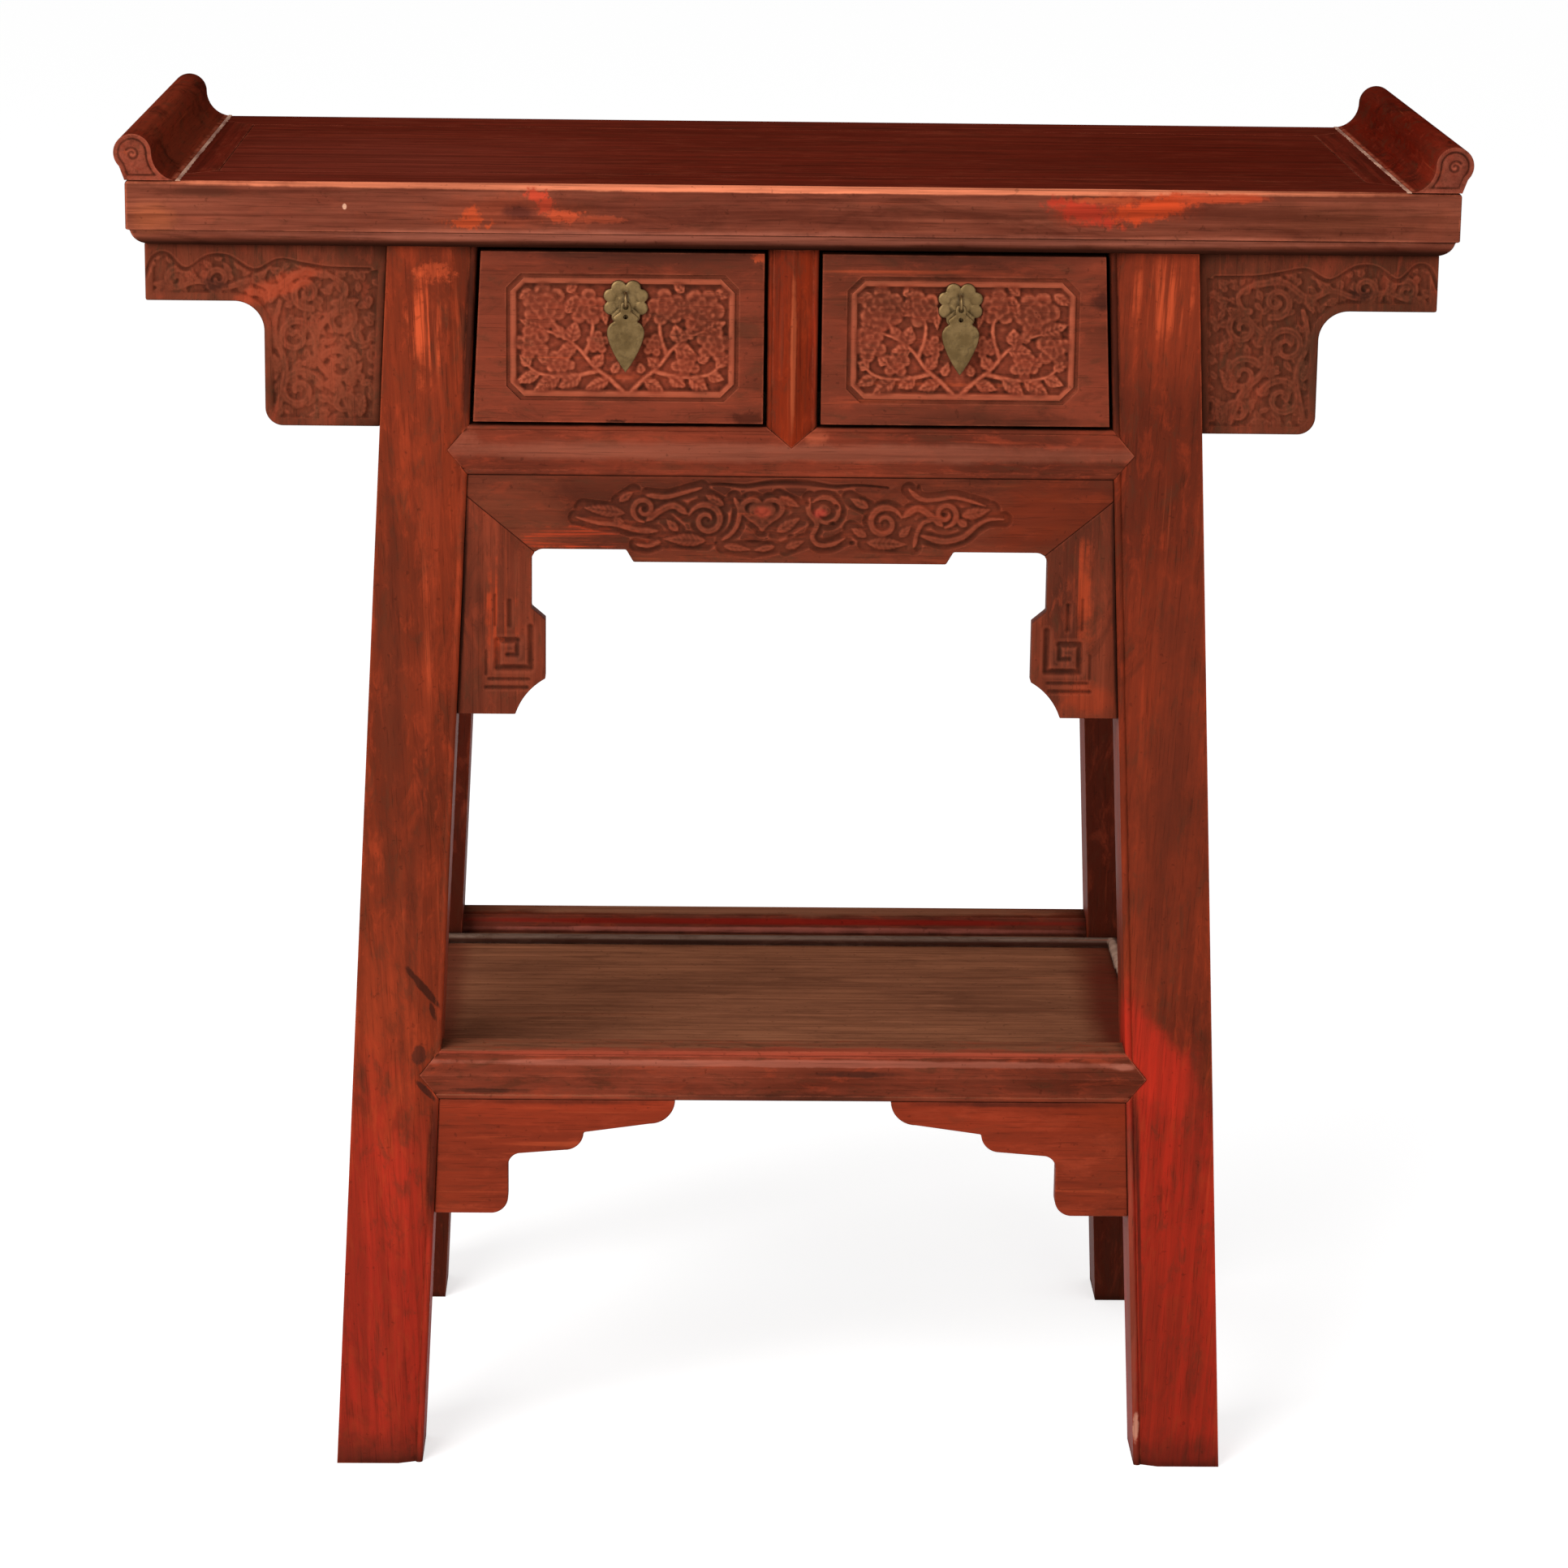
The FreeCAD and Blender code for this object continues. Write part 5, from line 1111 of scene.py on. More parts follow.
wearAndPaintedLight = {
    "topRail": (
        # painted highlight along the top's front arris
        patch(0, -193, 902, (480, 6, 3.6), (250, 142, 102), share=0.98, ragged=0.6, scale=30),
        patch(-190, -193, 884, (84, 20, 14), (168, 74, 48), share=0.55, ragged=2.0, scale=40, soft=0.8),
        patch(-183, -193, 884, (15, 20, 7), (80, 42, 36), share=0.75, ragged=1.6, scale=70, soft=0.7),
        patch(-217, -193, 876.5, (16, 20, 4.6), (216, 86, 46), share=0.85, ragged=3.2, scale=230,
              soft=0.5),
        patch(-214, -193, 882.5, (7, 20, 5.5), (212, 84, 46), share=0.8, ragged=3.2, scale=230, soft=0.5),
        patch(-171, -193, 895.5, (8, 20, 5), (206, 70, 46), share=0.8, ragged=3.2, scale=230, soft=0.5),
        patch(-166, -193, 889, (7, 20, 6), (204, 72, 46), share=0.8, ragged=3.2, scale=230, soft=0.5),
        patch(-154, -193, 882, (15, 20, 4.6), (210, 84, 50), share=0.8, ragged=3.2, scale=220, soft=0.5),
        patch(-128, -193, 880, (22, 20, 3.0), (190, 82, 52), share=0.55, ragged=3.0, scale=180, soft=0.6),
        patch(215, -193, 890, (66, 20, 13), (176, 66, 40), share=0.6, ragged=2.0, scale=50, soft=0.8),
        patch(192, -193, 888, (30, 20, 9), (204, 60, 40), share=0.75, ragged=2.8, scale=150, soft=0.6,
              turn=-14),
        patch(238, -193, 891, (34, 20, 9), (218, 76, 38), share=0.85, ragged=2.4, scale=140, soft=0.5,
              turn=14),
        patch(208, -193, 896, (34, 20, 2.8), (214, 92, 54), share=0.6, ragged=2.4, scale=150, soft=0.6),
        patch(280, -193, 898, (46, 20, 4), (216, 84, 50), share=0.8, ragged=1.6, scale=60, soft=0.4),
        patch(-298, -193, 887, (1.6, 8, 2.2), (226, 170, 140), share=0.9, ragged=0.4, scale=200),
        patch(-425, -193, 880, (22, 20, 14), (176, 92, 56), share=0.55, ragged=1.2, scale=40, soft=0.8),
        patch(-396, -193, 896, (28, 20, 4.5), (84, 52, 38), share=0.55, ragged=1.6, scale=50, soft=0.7),
        patch(60, -193, 884, (130, 20, 12), (100, 52, 36), share=0.1, ragged=2.0, scale=18, soft=0.9),
        patch(370, -193, 884, (110, 20, 18), (92, 46, 29), share=0.6, ragged=2.0, scale=16, soft=0.9),
        # painted light: the fascia's lower moulding made paler, lifting the shade under the fascia
        patch(0, -190, 868, (460, 12, 6), (166, 96, 76), share=0.7, ragged=1.0, scale=24, soft=0.6),
        # painted sheen over the left of the top
        patch(-270, -60, 903, (200, 190, 5), (136, 58, 43), share=0.55, ragged=1.2, scale=12, soft=0.9),
        # painted shade over the right of the top
        patch(300, 0, 903, (190, 190, 5), (88, 18, 8), share=0.40, ragged=1.2, scale=12, soft=0.9),
    ),
    "legLeft": (
        patch(-290, -190, 90, (90, 90, 120), (136, 34, 26), share=0.35, ragged=1.2, scale=16, soft=0.9),
        patch(-290, -190, 70, (90, 90, 250), (180, 46, 30), share=0.80, ragged=0.9, scale=18, soft=0.5,
              under=True),
        patch(-249, -189, 347, (21, 24, 3.0), (44, 24, 17), share=0.85, ragged=1.2, scale=70, turn=-53),
        patch(-243, -187, 330, (9, 24, 2.0), (44, 24, 17), share=0.8, ragged=1.2, scale=90, turn=-75),
        patch(-256, -184, 420, (7, 24, 60), (70, 34, 22), share=0.5, ragged=2.2, scale=30, soft=0.9),
        patch(-246, -178, 806, (13, 24, 48), wornOrange, share=0.85, ragged=2.2, scale=40,
              streaked=True, soft=0.6),
        patch(-240, -178, 842, (15, 24, 8), wornOrange, share=0.55, ragged=3.4, scale=240, soft=0.7),
        patch(-270, -184, 560, (14, 30, 150), (90, 42, 27), share=0.5, ragged=2.4, scale=14, soft=0.9),
        # painted shade along the leg's inner moulding beside the drawer
        patch(-217, -178, 800, (4.0, 40, 74), (40, 21, 15), share=0.85, ragged=0.7, scale=40, soft=0.5,
              turn=-2.7),
        # painted shade on the leg's inner moulding below the shelf
        patch(-244, -190, 222, (4.6, 60, 62), (50, 24, 17), share=0.8, ragged=0.6, scale=30, soft=0.6,
              turn=-2.7),
        patch(-280, -190, 0, (90, 90, 40), (80, 34, 24), share=0.8, ragged=1.2, scale=30, soft=0.9),
        patch(-248, -190, 273, (11, 30, 2.4), (46, 28, 22), share=0.8, ragged=0.9, scale=80, turn=-49),
        patch(-252.5, -189, 299, (5, 30, 7), (60, 34, 26), share=0.7, ragged=1.8, scale=70),
    ),
    "legRight": (
        patch(200, -190, 60, (140, 90, 298), (172, 40, 25), share=0.88, ragged=0.4, scale=26,
              soft=0.15, under=True),
        patch(249, -190, 302, (64, 60, 26), (186, 44, 28), share=0.78, ragged=0.7, scale=50, soft=0.45,
              turn=-49.5),
        # painted shade on the leg's inner moulding below the shelf, in this and the next spot
        patch(252, -190, 140, (1.8, 60, 130), (58, 24, 17), share=0.8, ragged=0.6, scale=30, soft=0.6,
              turn=2.7),
        patch(246, -190, 236, (4.2, 60, 50), (60, 27, 19), share=0.7, ragged=0.6, scale=30, soft=0.6,
              turn=2.7),
        patch(286, -190, 250, (12, 60, 70), (92, 36, 24), share=0.3, ragged=2.0, scale=24, soft=0.8),
        patch(260, -190, 80, (70, 90, 130), (132, 38, 24), share=0.5, ragged=1.4, scale=16, soft=0.9),
        patch(246, -178, 828, (28, 24, 32), (194, 78, 43), share=0.8, ragged=2.2, scale=40,
              streaked=True, soft=0.7),
        patch(264, -184, 520, (26, 30, 190), (84, 38, 25), share=0.6, ragged=2.2, scale=13, soft=0.95),
        patch(262, -184, 440, (50, 30, 100), (78, 36, 23), share=0.4, ragged=2.0, scale=16, soft=0.9),
        patch(250, -178, 815, (60, 40, 70), (172, 66, 36), share=0.35, ragged=1.2, scale=20, soft=0.8,
              under=True),
        # painted shade along the leg's inner moulding beside the drawer
        patch(217, -178, 800, (3.6, 40, 74), (40, 21, 15), share=0.8, ragged=0.7, scale=40, soft=0.5,
              turn=2.7),
        patch(280, -190, 0, (90, 90, 30), (66, 28, 20), share=0.6, ragged=1.6, scale=30, soft=0.9),
        patch(246, -192, 140, (3.6, 60, 150), (134, 74, 56), share=0.55, ragged=0.9, scale=30,
              soft=0.5, turn=2.7),
        patch(252, -199, 28, (3, 14, 12), (214, 150, 124), share=0.75, ragged=1.6, scale=120),
    ),
    "divider": (
        patch(0.4, -186, 790, (2.7, 12, 76), (186, 88, 52), share=0.65, ragged=0.7, scale=50),
        patch(5.0, -186, 790, (2.2, 12, 84), (84, 22, 8), share=0.75, ragged=0.7, scale=40, soft=0.5),
        patch(13.5, -184, 790, (6, 12, 70), (156, 36, 17), share=0.5, ragged=1.2, scale=40, soft=0.6),
        patch(-7.5, -185, 804, (2.2, 12, 60), (92, 48, 34), share=0.55, ragged=1.0, scale=40, soft=0.6),
    ),
    "drawer": (
        patch(-23, -179, 854, (5, 8, 4), wornOrange, share=0.7, ragged=2.6, scale=260, soft=0.5),
        patch(-118, -179, 741, (8, 8, 3), dirtAndShadeTone, share=0.9, ragged=1.4, scale=150),
        patch(-30, -179, 745, (16, 8, 6), dirtAndShadeTone, share=0.6, ragged=1.8, scale=80, soft=0.6),
        # painted shadow of the overhanging top along the drawers' top borders, in this and the next spot
        patch(-115, -179, 859, (140, 8, 16), (64, 36, 27), share=0.6, ragged=1.0, scale=24, soft=0.7),
        patch(118, -179, 858, (130, 8, 14), (64, 34, 25), share=0.5, ragged=1.0, scale=24, soft=0.7),
        patch(118, -179, 742, (130, 8, 18), (72, 38, 26), share=0.5, ragged=1.0, scale=24, soft=0.8),
        patch(206, -179, 826, (10, 8, 9), (54, 28, 22), share=0.75, ragged=1.8, scale=70, soft=0.6),
        patch(-80, -179, 780, (60, 12, 30), (178, 74, 48), share=0.25, ragged=1.8, scale=26, soft=0.8),
    ),
    "apron": (
        patch(-140, -176, 662, (46, 8, 8), (190, 64, 33), share=0.75, ragged=1.8, scale=55,
              streaked=True),
        patch(-185, -176, 680, (42, 8, 18), (88, 46, 31), share=0.2, ragged=1.8, scale=30, soft=0.8),
        # painted shadow under the rail along the apron's top
        patch(0, -176, 698, (120, 8, 8), (60, 31, 22), share=0.6, ragged=1.6, scale=24, soft=0.8),
        patch(180, -176, 680, (66, 8, 36), (118, 43, 22), share=0.75, ragged=1.6, scale=24, soft=0.8),
        patch(-190, -176, 676, (60, 8, 44), (146, 70, 45), share=0.4, ragged=1.4, scale=24, soft=0.7,
              under=True),
        patch(-19, -176, 681, (7, 8, 5), (176, 66, 46), share=0.6, ragged=1.0, scale=60, soft=0.7),
        patch(20, -176, 680, (7, 8, 5), (180, 60, 48), share=0.7, ragged=1.0, scale=60, soft=0.7),
        patch(0, -176, 676, (130, 8, 34), (80, 40, 27), share=0.7, ragged=1.6, scale=30, soft=0.8,
              under=True),
    ),
    "spandrel": (
        patch(-345, -171, 830, (34, 8, 9), (176, 70, 42), share=0.65, ragged=1.8, scale=60, turn=20,
              soft=0.5),
        patch(-387, -171, 831, (11, 8, 6), (44, 26, 20), share=0.75, ragged=1.6, scale=70, soft=0.6),
        patch(-312, -171, 782, (12, 8, 40), (158, 68, 44), share=0.4, ragged=2.0, scale=40, soft=0.8),
        patch(381, -171, 832, (12, 8, 6), (40, 24, 18), share=0.75, ragged=1.6, scale=70, soft=0.6),
        patch(352, -171, 780, (14, 8, 44), (70, 42, 29), share=0.5, ragged=2.0, scale=40, soft=0.8),
        patch(-308, -171, 786, (50, 8, 60), (160, 76, 50), share=0.5, ragged=1.4, scale=24, soft=0.8,
              under=True),
        patch(370, -171, 820, (110, 8, 80), (70, 38, 24), share=0.6, ragged=1.2, scale=20, soft=0.7,
              under=True),
        # painted shade at the spandrels' ends where they meet the legs, in this and the next spot
        patch(272, -171, 795, (4.4, 8, 76), (32, 19, 14), share=0.85, ragged=0.8, scale=50, soft=0.6,
              turn=2.7),
        patch(-272, -171, 795, (4.4, 8, 76), (32, 19, 14), share=0.85, ragged=0.8, scale=50, soft=0.6,
              turn=-2.7),
    ),
    "rail": (
        # painted light: the rail's upper band paler, as lit from above
        patch(0, -185, 722, (420, 20, 9), (146, 80, 60), share=0.75, ragged=1.0, scale=20, soft=0.6),
        patch(17, -185, 733, (11, 20, 6.5), (190, 92, 62), share=0.6, ragged=1.6, scale=70, soft=0.6),
        patch(-222, -185, 732, (16, 20, 10), (160, 88, 66), share=0.5, ragged=1.8, scale=60, soft=0.6),
    ),
    "drop": (
        patch(-196, -176, 610, (12, 8, 44), (184, 66, 33), share=0.7, ragged=2.2, scale=40,
              streaked=True, soft=0.6),
        patch(200, -176, 628, (10, 8, 36), (184, 68, 35), share=0.6, ragged=2.2, scale=40,
              streaked=True, soft=0.7),
        patch(205, -176, 552, (22, 8, 14), (168, 60, 31), share=0.5, ragged=1.6, scale=40, soft=0.6),
        patch(186, -176, 582, (15, 8, 16), (70, 40, 30), share=0.55, ragged=1.4, scale=50, soft=0.8,
              under=True),
        patch(-186, -176, 582, (15, 8, 16), (70, 40, 30), share=0.55, ragged=1.4, scale=50, soft=0.8,
              under=True),
        # painted shade in the joint between each drop and its leg, in this and the next spot
        patch(-222.6, -176, 615, (3.2, 12, 110), (30, 15, 10), share=0.92, ragged=0.5, scale=40,
              soft=0.5, turn=-2.7),
        patch(222.6, -176, 615, (3.2, 12, 110), (30, 15, 10), share=0.92, ragged=0.5, scale=40,
              soft=0.5, turn=2.7),
    ),
    "flange": (
        patch(-430, 0, 915, (70, 260, 60), (138, 56, 34), share=0.65, ragged=1.2, scale=14, soft=0.6,
              under=True),
        patch(437, -192, 916, (24, 12, 24), (100, 50, 38), share=0.45, ragged=1.2, scale=40, soft=0.8),
        patch(430, 20, 915, (70, 205, 60), (98, 16, 5), share=0.6, ragged=1.2, scale=14, soft=0.6,
              under=True),
    ),
    "shelf": (
        # painted shade at both ends of the shelf beside the legs, in this and the next spot
        patch(246, -60, 288, (34, 400, 12), (100, 32, 22), share=0.9, ragged=0.5, scale=14, soft=0.7),
        patch(-246, -60, 288, (22, 400, 12), (110, 44, 32), share=0.7, ragged=0.5, scale=14, soft=0.7),
    ),
    "shelfBack": (
        patch(0, 160, 298, (300, 8, 3.2), (146, 26, 18), share=0.75, ragged=0.7, scale=24, soft=0.5),
        # painted highlights: a pale line along the back rail's bead and a paler top, in this and the next
        # spot
        patch(0, 160, 291.6, (300, 8, 2.6), (198, 110, 94), share=0.75, ragged=0.9, scale=24, soft=0.5),
        patch(0, 177, 303, (300, 18, 4), (166, 108, 80), share=0.75, ragged=0.8, scale=20, soft=0.5),
    ),
    "shelfLip": (
        # painted highlights: a red and a pale line along the rail's top arris, in this and the next spot
        patch(0, -186, 300.5, (300, 14, 2.8), (176, 76, 54), share=0.75, ragged=1.0, scale=24),
        patch(0, -188, 294, (300, 20, 2.8), (178, 102, 82), share=0.7, ragged=1.0, scale=24, soft=0.5),
        patch(-205, -188, 273, (38, 20, 3.0), (50, 34, 26), share=0.7, ragged=1.6, scale=40, soft=0.6),
        patch(50, -188, 287, (36, 20, 2.4), (50, 34, 28), share=0.7, ragged=1.8, scale=50, soft=0.6),
        # painted shade under the rail's lower arris
        patch(0, -188, 269, (120, 20, 3.5), (60, 36, 28), share=0.6, ragged=1.2, scale=30, soft=0.6),
        patch(235, -188, 293, (10, 20, 2.6), (196, 118, 96), share=0.5, ragged=1.8, scale=90, soft=0.7),
    ),
    "bracket": (
        # painted shadow of the rail on the brackets' tops, in this and the next spot
        patch(160, -170, 265, (100, 40, 3.5), (50, 26, 20), share=0.75, ragged=1.0, scale=30, soft=0.6),
        patch(-160, -170, 265, (100, 40, 3.0), (60, 30, 22), share=0.6, ragged=1.2, scale=30, soft=0.6),
        patch(225, -170, 264, (80, 40, 34), (118, 38, 17), share=0.6, ragged=1.2, scale=24, soft=0.7),
    ),
    "bead": (
        patch(254, 90, 294, (4, 62, 6), (196, 160, 138), share=0.8, ragged=1.4, scale=40),
    ),
}
lacquers = {    # name of the material, its look and the way of its grain
    "topRail": ("topRailLacquer", "top", "x"), "topEnd": ("topEndLacquer", "top", "y"),
    "flange": ("flangeLacquer", "flange", "y"), "case": ("caseLacquer", "case", "x"),
    "side": ("sideLacquer", "case", "y"), "rail": ("railLacquer", "case", "x"),
    "shelfLip": ("shelfLipLacquer", "shelfLip", "x"), "divider": ("dividerLacquer", "divider", "z"),
    "drawer": ("drawerFrontLacquer", "carved", "x"), "apron": ("apronLacquer", "apron", "x"),
    "drop": ("dropLacquer", "apron", "z"), "spandrel": ("spandrelLacquer", "dark", "z"),
    "bracket": ("bracketLacquer", "bracket", "x"), "legLeft": ("leftLegLacquer", "legLeft", "z"),
    "legRight": ("rightLegLacquer", "legRight", "z"), "legBack": ("backLegLacquer", "backLegShade", "z"),
    "shelfBack": ("shelfBackLacquer", "backRailShade", "x"), "shelf": ("shelfLacquer", "shelf", "x"),
    "bead": ("beadLacquer", "bead", "x"),
}
leans = {"legLeft": legLean, "legRight": -legLean}
finish = {
    "bareX": bareWood("bareWoodAcross", "x"), "bareY": bareWood("bareWoodDeep", "y"),
    "brass": agedBrass("agedBrass", polish=0.0), "plateBrass": agedBrass("plateBrass", polish=0.25),
    "rubbedBrass": agedBrass("rubbedBrass", polish=0.55), "seam": seamFiller("seamFiller"),
}
for key, (name, look, along) in lacquers.items():
    finish[key] = lacquer(name, lacquerLooks[look], along, wearAndPaintedLight.get(key, ()), leans.get(key, 0.0))
print("finishes made")

finishStart = (    # the first start of a name that fits gives the finish
    ("top_rail", "topRail"), ("top_panel", "topRail"), ("top_end", "topEnd"), ("flange", "flange"),
    ("leg_front_left", "legLeft"), ("leg_front_right", "legRight"), ("leg_back", "legBack"),
    ("shelf_rail_back", "shelfBack"), ("shelf_rail_front", "shelfLip"), ("shelf_rail", "side"),
    ("shelf_panel", "shelf"), ("shelf_bracket", "bracket"), ("drawer_rail", "rail"),
    ("drawer_divider", "divider"), ("apron_drop", "drop"), ("apron", "apron"), ("spandrel", "spandrel"),
    ("case_rail", "side"), ("case_panel", "side"), ("case_back", "case"),
)


def finishFor(node):
    if "_pull_" in node:
        return "rubbedBrass" if node.endswith("cotter") else "brass"
    if slotOf[node] == "bare_wood":
        return "bareX" if node.endswith(("_back", "_bottom")) else "bareY"
    if node.startswith(("drawer_left", "drawer_right")):
        return "drawer"
    return next(name for start, name in finishStart if node.startswith(start))


for name, obj in nodes.items():
    for index in range(len(obj.data.materials)):
        obj.data.materials[index] = finish[finishFor(name)]
    weld = obj.modifiers.new("weld", "WELD")
    weld.merge_threshold = easing["join"]
    flatten = obj.modifiers.new("flatten", "DECIMATE")
    flatten.decimate_type = "DISSOLVE"
    flatten.angle_limit = easing["flat"]
    ease = obj.modifiers.new("ease", "BEVEL")
    ease.width = easing["brassWidth"] if "_pull_" in name else easing["width"]
    ease.segments = easing["segments"]
    ease.limit_method = "ANGLE"
    ease.angle_limit = easing["angle"]
print("frame pieces finished")

for word, side in (("left", -1), ("right", 1)):
    front, drop = f"drawer_{word}_front", f"apron_drop_{word}"
    spandrel, flange = f"spandrel_front_{word}", f"flange_{word}"
    carve(front, f"carved_drawer_front_{word}", drawerRelief(front, side))
    carve(drop, f"carved_apron_drop_{word}", dropRelief(drop, side), easing["boardWidth"])
    carve(spandrel, f"carved_spandrel_{word}", spandrelRelief(spandrel, side), easing["boardWidth"])
    carve(flange, f"carved_flange_{word}", flangeRelief(flange, side))
carve("apron_board", "carved_apron", apronRelief(), easing["boardWidth"])


# Pulls: a cloud-shaped plate and a leaf-shaped pendant on the cotter's eye

def stackRings(name, rings):
    # a closed skin over rings of points, each ring with as many points as the next
    count = len(rings[0])
    faces = [tuple(range(count))[::-1], tuple(range((len(rings) - 1) * count, len(rings) * count))]
    for row in range(len(rings) - 1):
        for step in range(count):
            after = (step + 1) % count
            here, there = row * count, (row + 1) * count
            faces.append((here + step, here + after, there + after, there + step))
    obj = meshObject(name, np.vstack(rings) * mm, faces)
    shape = bmesh.new()
    shape.from_mesh(obj.data)
    bmesh.ops.recalc_face_normals(shape, faces=shape.faces)
    shape.to_mesh(obj.data)
    shape.free()
    return obj


plateLook = {
    # x, z and radius of each lobe, on both sides
    "lobes": ((4.8, 9.5, 5.2), (10.5, 4.4, 4.5), (10.2, -3.9, 4.6), (5.0, -9.6, 4.6)),
    "disc": 9.6, "boss": 6.0, "rim": 0.5, "swell": 0.85, "lip": 0.7, "steps": 144, "crease": 50,
    "rings": (0.97, 0.06, 14),    # first share, last share and number of the rings over the front
}


def pullPlate(node, name):
    look = plateLook
    low, high = (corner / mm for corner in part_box(node))
    middle = (low + high) / 2
    lobes = [(side * x, z, radius) for x, z, radius in look["lobes"] for side in (-1, 1)]
    angles = np.linspace(0, 2 * math.pi, look["steps"], endpoint=False)
    edge = np.full(len(angles), look["disc"])
    for x, z, radius in lobes:
        along = x * np.cos(angles) + z * np.sin(angles)
        aside = x * np.sin(angles) - z * np.cos(angles)
        chord = np.sqrt(np.clip(radius ** 2 - aside ** 2, 0, None))
        edge = np.where(np.abs(aside) < radius, np.maximum(edge, along + chord), edge)

    def ring(share, rise):
        x, z = share * edge * np.cos(angles), share * edge * np.sin(angles)
        dome = np.zeros(len(angles))
        for lobeX, lobeZ, radius in (*lobes, (0, 0, look["boss"])):
            dome = np.maximum(dome, 1 - ((x - lobeX) ** 2 + (z - lobeZ) ** 2) / radius ** 2)
        thick = rise * (look["rim"] + look["swell"] * np.sqrt(np.clip(dome, 0, 1)))
        return np.column_stack((middle.x + x, high.y - thick, middle.z + z))

    rings = [ring(1.0, 0.0), ring(1.0, look["lip"])]
    rings += [ring(share, 1.0) for share in np.linspace(*look["rings"])]
    obj = stackRings(name, rings)
    smooth(obj, look["crease"])
    standFor(obj, node, finish["plateBrass"])


pendantLook = {
    # half of the outline from the eye, outward and down
    "half": (
        (0, -1.2), (2.6, -1.8), (3.7, -4.6), (3.6, -7.4), (5.8, -9.2), (8.6, -11.8), (7.8, -14.2),
        (10.6, -16.4), (12.5, -20.5), (11.9, -26.0), (9.6, -32.5), (6.4, -39.0), (3.0, -44.6), (0, -48.8),
    ),
    # share of the outline round the heart, and way forward, of each ring from the back
    "rings": (
        (0.90, -0.78), (0.97, -0.62), (1.0, 0.0), (0.985, 0.45), (0.95, 0.72), (0.82, 0.92), (0.55, 1.08),
        (0.25, 1.15),
    ),
    "heart": (0.0, -20.0), "steps": 6, "crease": 50,
    "holes": ((-4.6, 2.0), (-11.2, 1.7)), "holeSteps": 24, "through": 3,    # height and radius of each hole
}


def pullPendant(node, name):
    look = pendantLook
    joints = frame["record"]["behaviour"]["joints"]
    eye = np.array(next(joint for joint in joints if joint["child"] == bodyOf[node])["pos_m"]) / mm
    half = flowing(look["half"], look["steps"])
    outline = np.vstack((half, (half * (-1, 1))[-2:0:-1]))
    heart = np.array(look["heart"])

    def ring(share, forward):
        flat = heart + share * (outline - heart)
        depth = np.full(len(flat), eye[1] - forward)
        return np.column_stack((eye[0] + flat[:, 0], depth, eye[2] + flat[:, 1]))

    obj = stackRings(name, [ring(*spot) for spot in look["rings"]])
    turn = np.linspace(0, 2 * math.pi, look["holeSteps"], endpoint=False)
    for drop, radius in look["holes"]:
        x, z = eye[0] + radius * np.cos(turn), eye[2] + drop + radius * np.sin(turn)
        depths = (eye[1] - look["through"], eye[1] + look["through"])
        minus(obj, stackRings("cutter", [np.column_stack((x, np.full(len(x), y), z)) for y in depths]))
    smooth(obj, look["crease"])
    standFor(obj, node, finish["brass"])


for word in ("left", "right"):
    pullPlate(f"drawer_{word}_pull_plate", f"cloud_plate_{word}")
    pullPendant(f"drawer_{word}_pull_pendant", f"leaf_pendant_{word}")
print("pulls made")


# Filler in the joint at the foot of each everted end, and a bead round the low shelf

def onFrame(obj, material):
    obj.data.materials.append(material)
    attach(obj, "frame")


seamPlace = {
    "inner": 406.4, "outer": 409.7, "rise": 0.55, "lowest": 0.5, "foot": -0.3, "innerSlope": 0.7,
    "outerSlope": 0.5, "inset": 1.0, "steps": 90, "uneven": 0.45, "crease": 40,
}


def seamStrip(side, seed):
    look = seamPlace
    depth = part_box("top_end_left")[1].y / mm - look["inset"]
    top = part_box("top_end_left")[1].z / mm
    outer, foot = look["outer"], look["foot"]
    chance = np.random.default_rng(seed)
    rings = []
    for y in np.linspace(-depth, depth, look["steps"]):
        inner = look["inner"] + chance.uniform(-1, 1) * look["uneven"]
        rise = look["rise"] * chance.uniform(look["lowest"], 1.0)
        shoulders = (inner + look["innerSlope"], rise), (outer - look["outerSlope"], rise)
        section = ((inner, foot), *shoulders, (outer, foot))
        rings.append(np.array([(side * x, y, top + z) for x, z in section]))
    obj = stackRings("seam_left" if side < 0 else "seam_right", rings)
    smooth(obj, look["crease"])
    onFrame(obj, finish["seam"])


beadPlace = {
    # round three sides of the shelf
    "path": ((-256.5, -137.0), (-256.5, 132.5), (256.5, 132.5), (256.5, -137.0)),
    "half": 4.5, "height": 6.5, "shoulder": 2.2, "foot": -0.2, "points": 9, "crease": 40,
}


def shelfBead():
    look = beadPlace
    path = np.array(look["path"])
    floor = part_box("shelf_panel")[1].z / mm
    runs = np.diff(path, axis=0)
    runs /= np.linalg.norm(runs, axis=1)[:, None]
    asides = np.column_stack((-runs[:, 1], runs[:, 0]))
    mitres = [asides[0], asides[0] + asides[1], asides[1] + asides[2], asides[2]]
    turn = np.linspace(0, math.pi, look["points"])
    across = [-look["half"], *(-look["half"] * np.cos(turn)), look["half"]]
    swell = look["shoulder"] + (look["height"] - look["shoulder"]) * np.sin(turn)
    upward = [look["foot"], *swell, look["foot"]]
    rings = []
    for spot, aside in zip(path, mitres):
        section = zip(across, upward)
        rings.append(np.array([(*(spot + share * aside), floor + rise) for share, rise in section]))
    obj = stackRings("shelf_bead", rings)
    smooth(obj, look["crease"])
    onFrame(obj, finish["bead"])


seamStrip(-1, 3)
seamStrip(1, 8)
shelfBead()
print("seams and shelf bead made")


# Stage, light and camera

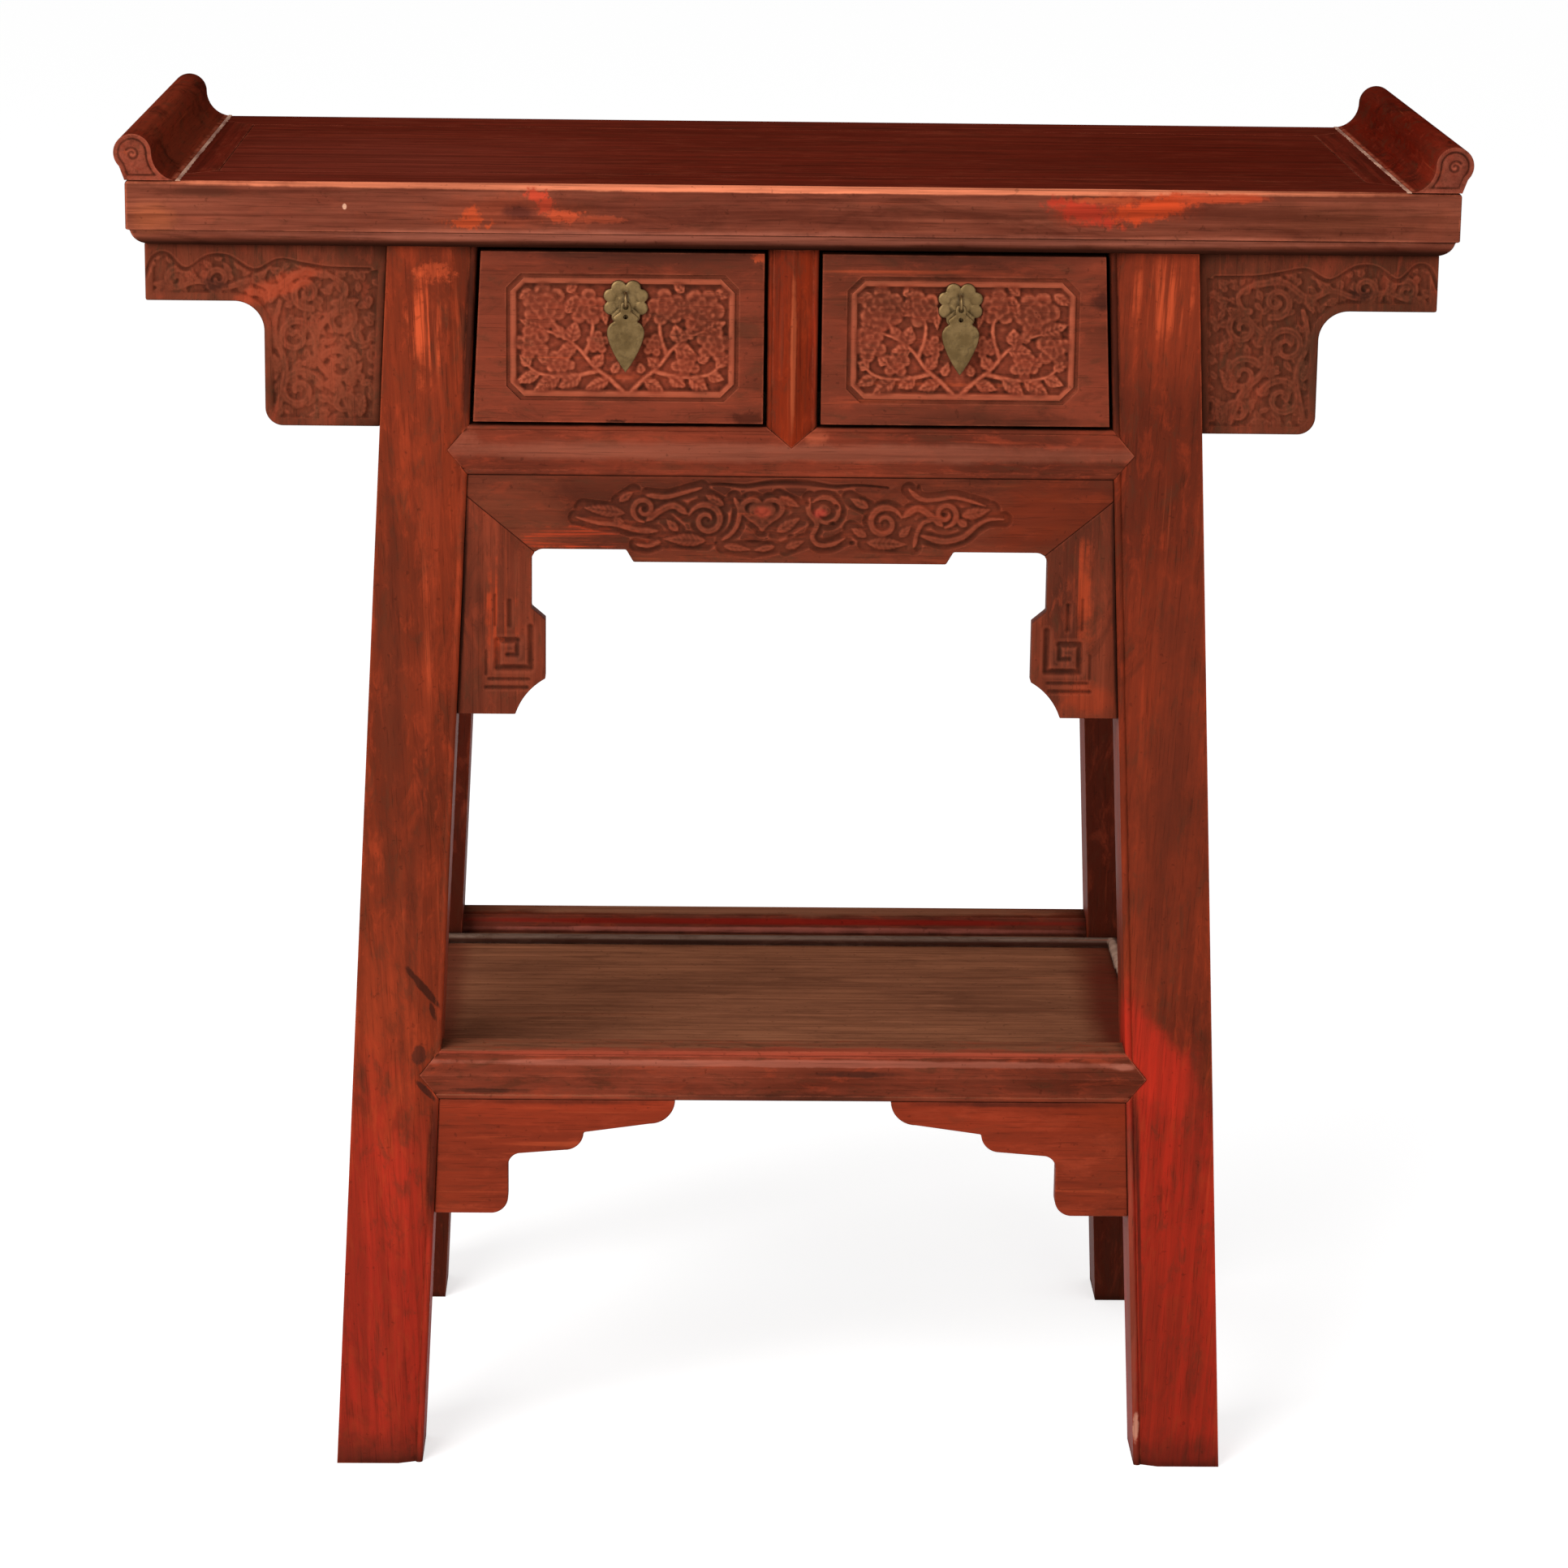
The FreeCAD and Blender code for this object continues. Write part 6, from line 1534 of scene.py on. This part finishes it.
studio = {
    "floorReach": 30, "floorColour": (0.86, 0.86, 0.86, 1.0), "floorRoughness": 0.9, "floorGlow": 0.62,
    "white": (1.0, 1.0, 1.0, 1.0), "skyLight": 0.42, "aim": (0, 0, 0.5),
}


def seenDirectly(tree):
    # 1 for what the camera sees straight, in a mirror or through glass
    path = put(tree, "LightPath").outputs
    further = reckon(tree, "MAXIMUM", path["Is Glossy Ray"], path["Is Transmission Ray"])
    return reckon(tree, "MAXIMUM", path["Is Camera Ray"], further)


def makeFloor():
    reach = studio["floorReach"]
    corners = [(-reach, -reach, 0), (reach, -reach, 0), (reach, reach, 0), (-reach, reach, 0)]
    floor = meshObject("floor", corners, [(0, 1, 2, 3)])
    material, tree, shader = newMaterial("paleFloor")
    shader.inputs["Base Color"].default_value = studio["floorColour"]
    shader.inputs["Roughness"].default_value = studio["floorRoughness"]
    shader.inputs["Specular IOR Level"].default_value = 0.0
    strength = reckon(tree, "MULTIPLY", seenDirectly(tree), studio["floorGlow"])
    glow = put(tree, "Emission", {"Strength": strength}).outputs[0]
    both = put(tree, "AddShader", {0: shader.outputs[0], 1: glow}).outputs[0]
    feed(tree, tree.nodes["Material Output"].inputs["Surface"], both)
    floor.data.materials.append(material)


def makeWorld():
    world = bpy.data.worlds.new("studio")
    bpy.context.scene.world = world
    world.use_nodes = True
    tree = world.node_tree
    strength = between(tree, seenDirectly(tree), 0.0, 1.0, studio["skyLight"], 1.0)
    feed(tree, tree.nodes["Background"].inputs["Color"], studio["white"])
    feed(tree, tree.nodes["Background"].inputs["Strength"], strength)


lamps = {
    "key": {"place": (-2.3, -3.1, 2.7), "size": 3.0, "power": 143.0},
    "fill": {"place": (1.4, -3.9, 1.3), "size": 2.6, "power": 26.0},
}


def makeLamps():
    for name, lamp in lamps.items():
        data = bpy.data.lights.new(name, "AREA")
        data.energy = lamp["power"]
        data.size = lamp["size"]
        obj = addObject(name, data)
        obj.location = lamp["place"]
        obj.rotation_euler = (Vector(studio["aim"]) - obj.location).to_track_quat("-Z", "Y").to_euler()


cameraPlace = {
    "position": (-0.07485, -3.41341, 1.30766), "yaw": -0.0225, "pitch": 0.2470, "roll": 0.0130,
    "focalPixels": 5999.93, "imagePixels": 1932, "sensor": 36.0,
}


def makeCamera():
    look = cameraPlace
    data = bpy.data.cameras.new("camera")
    data.sensor_width = look["sensor"]
    data.lens = look["focalPixels"] / look["imagePixels"] * look["sensor"]
    across = Vector((math.cos(look["yaw"]), math.sin(look["yaw"]), 0))
    level = Vector((-math.sin(look["yaw"]), math.cos(look["yaw"]), 0))
    ahead = level * math.cos(look["pitch"]) - Vector((0, 0, math.sin(look["pitch"])))
    above = across.cross(ahead)
    right = across * math.cos(look["roll"]) + above * math.sin(look["roll"])
    up = above * math.cos(look["roll"]) - across * math.sin(look["roll"])
    turn = Matrix((right, up, -ahead)).transposed()
    camera = addObject("camera", data)
    camera.matrix_world = Matrix.Translation(look["position"]) @ turn.to_4x4()
    bpy.context.scene.camera = camera


makeFloor()
makeWorld()
makeLamps()
makeCamera()
bpy.context.scene.view_settings.view_transform = "Standard"
print("stage, light and camera set")
